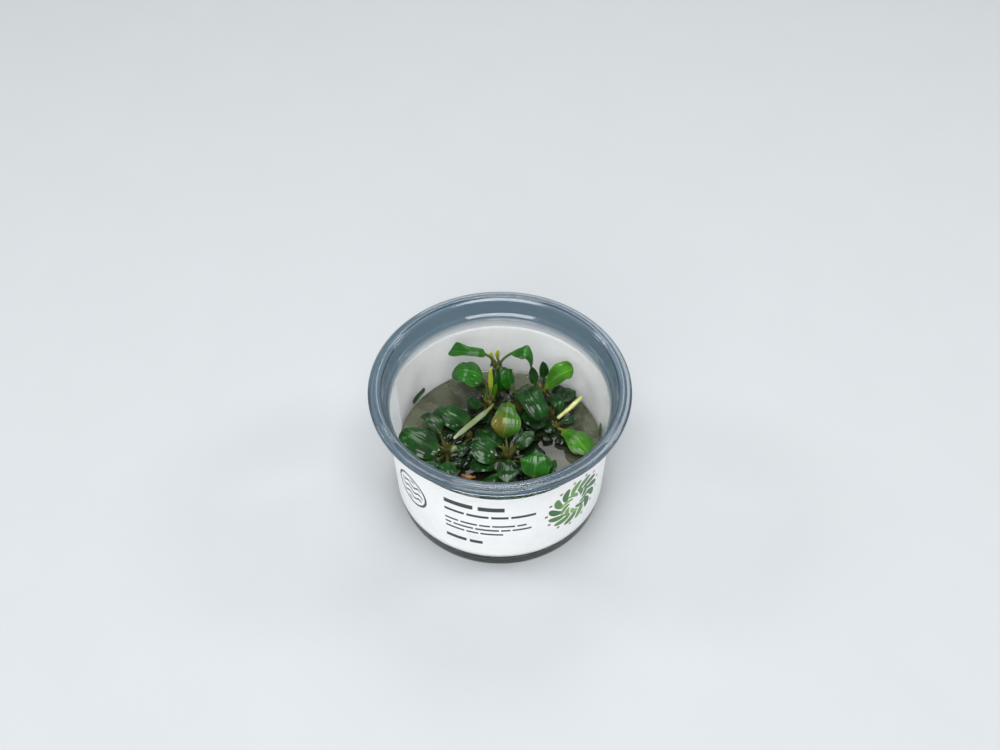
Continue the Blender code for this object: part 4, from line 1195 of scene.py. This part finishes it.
class CUP_PLANT_OT_stage(bpy.types.Operator):
    """Set the pale floor, the soft lights and the camera"""
    bl_idname = "cup_plant.stage"
    bl_label = "Stage"

    def execute(self, context):
        stage = context.scene.cup_plant.stage
        bpy.ops.object.select_all(action="DESELECT")
        bpy.ops.mesh.primitive_plane_add(size=60.0)
        floor = context.object
        floor.name = "studio_floor"
        floor.data.materials.append(floor_paper(stage))
        world = bpy.data.worlds.new("Studio air")
        world.use_nodes = True
        world.node_tree.nodes["Background"].inputs["Color"].default_value = (1.0, 1.0, 1.0, 1.0)
        world.node_tree.nodes["Background"].inputs["Strength"].default_value = stage.sky
        context.scene.world = world
        self.lamp("front_light", (-0.2, -0.95, 0.8), 0.9, 8.5)
        self.lamp("back_light", (0.1, 0.75, 0.9), 0.5, 4.0)
        self.lamp("top_light", (0.0, -0.25, 1.0), 0.6, 10.5)
        self.lamp("right_light", (0.7, 0.15, 0.55), 0.2, 2.0)
        self.lamp("left_light", (-0.7, 0.15, 0.55), 0.2, 2.0)
        pitch = math.pi / 2.0 - stage.pitch
        bpy.ops.object.camera_add(location=CAMERA_PLACE, rotation=(pitch, 0.0, 0.0))
        camera = context.object
        camera.name = "photo_camera"
        camera.data.lens = stage.lens
        camera.data.sensor_width = 36.0
        context.scene.camera = camera
        context.scene.view_settings.view_transform = "Standard"
        return {"FINISHED"}

    @staticmethod
    def lamp(name, place, size, watts):
        """A square soft box that faces the cup."""
        bpy.ops.object.light_add(type="AREA", location=place)
        lamp = bpy.context.object
        lamp.name = name
        lamp.data.size = size
        lamp.data.energy = watts
        lamp.rotation_euler = Vector(place).to_track_quat("Z", "Y").to_euler()


STEPS = (
    CUP_PLANT_OT_cup, CUP_PLANT_OT_labels, CUP_PLANT_OT_gel, CUP_PLANT_OT_rhizomes,
    CUP_PLANT_OT_roots, CUP_PLANT_OT_bracts, CUP_PLANT_OT_leaves, CUP_PLANT_OT_under_leaves,
    CUP_PLANT_OT_loose_bits, CUP_PLANT_OT_stage,
)


class CUP_PLANT_PT_panel(bpy.types.Panel):
    """Settings and steps of the cup plant"""
    bl_idname = "CUP_PLANT_PT_panel"
    bl_label = "Cup plant"
    bl_space_type = "VIEW_3D"
    bl_region_type = "UI"
    bl_category = "Cup plant"

    def draw(self, context):
        settings = context.scene.cup_plant
        for group in (settings.cup, settings.label, settings.gel, settings.plant, settings.stage):
            box = self.layout.box()
            for name in group.__annotations__:
                box.prop(group, name)
        for step in STEPS:
            self.layout.operator(step.bl_idname)


CLASSES = (
    CupSettings, LabelSettings, GelSettings, PlantSettings, StageSettings, CupPlantSettings,
    *STEPS, CUP_PLANT_PT_panel,
)


def register():
    for item in CLASSES:
        bpy.utils.register_class(item)
    bpy.types.Scene.cup_plant = bpy.props.PointerProperty(type=CupPlantSettings)


def unregister():
    del bpy.types.Scene.cup_plant
    for item in reversed(CLASSES):
        bpy.utils.unregister_class(item)


def main():
    register()
    bpy.ops.cup_plant.cup()
    bpy.ops.cup_plant.labels()
    bpy.ops.cup_plant.gel()
    bpy.ops.cup_plant.rhizomes()
    bpy.ops.cup_plant.roots()
    bpy.ops.cup_plant.bracts()
    bpy.ops.cup_plant.leaves()
    bpy.ops.cup_plant.under_leaves()
    bpy.ops.cup_plant.loose_bits()
    bpy.ops.cup_plant.stage()


if __name__ == "__main__":
    main()
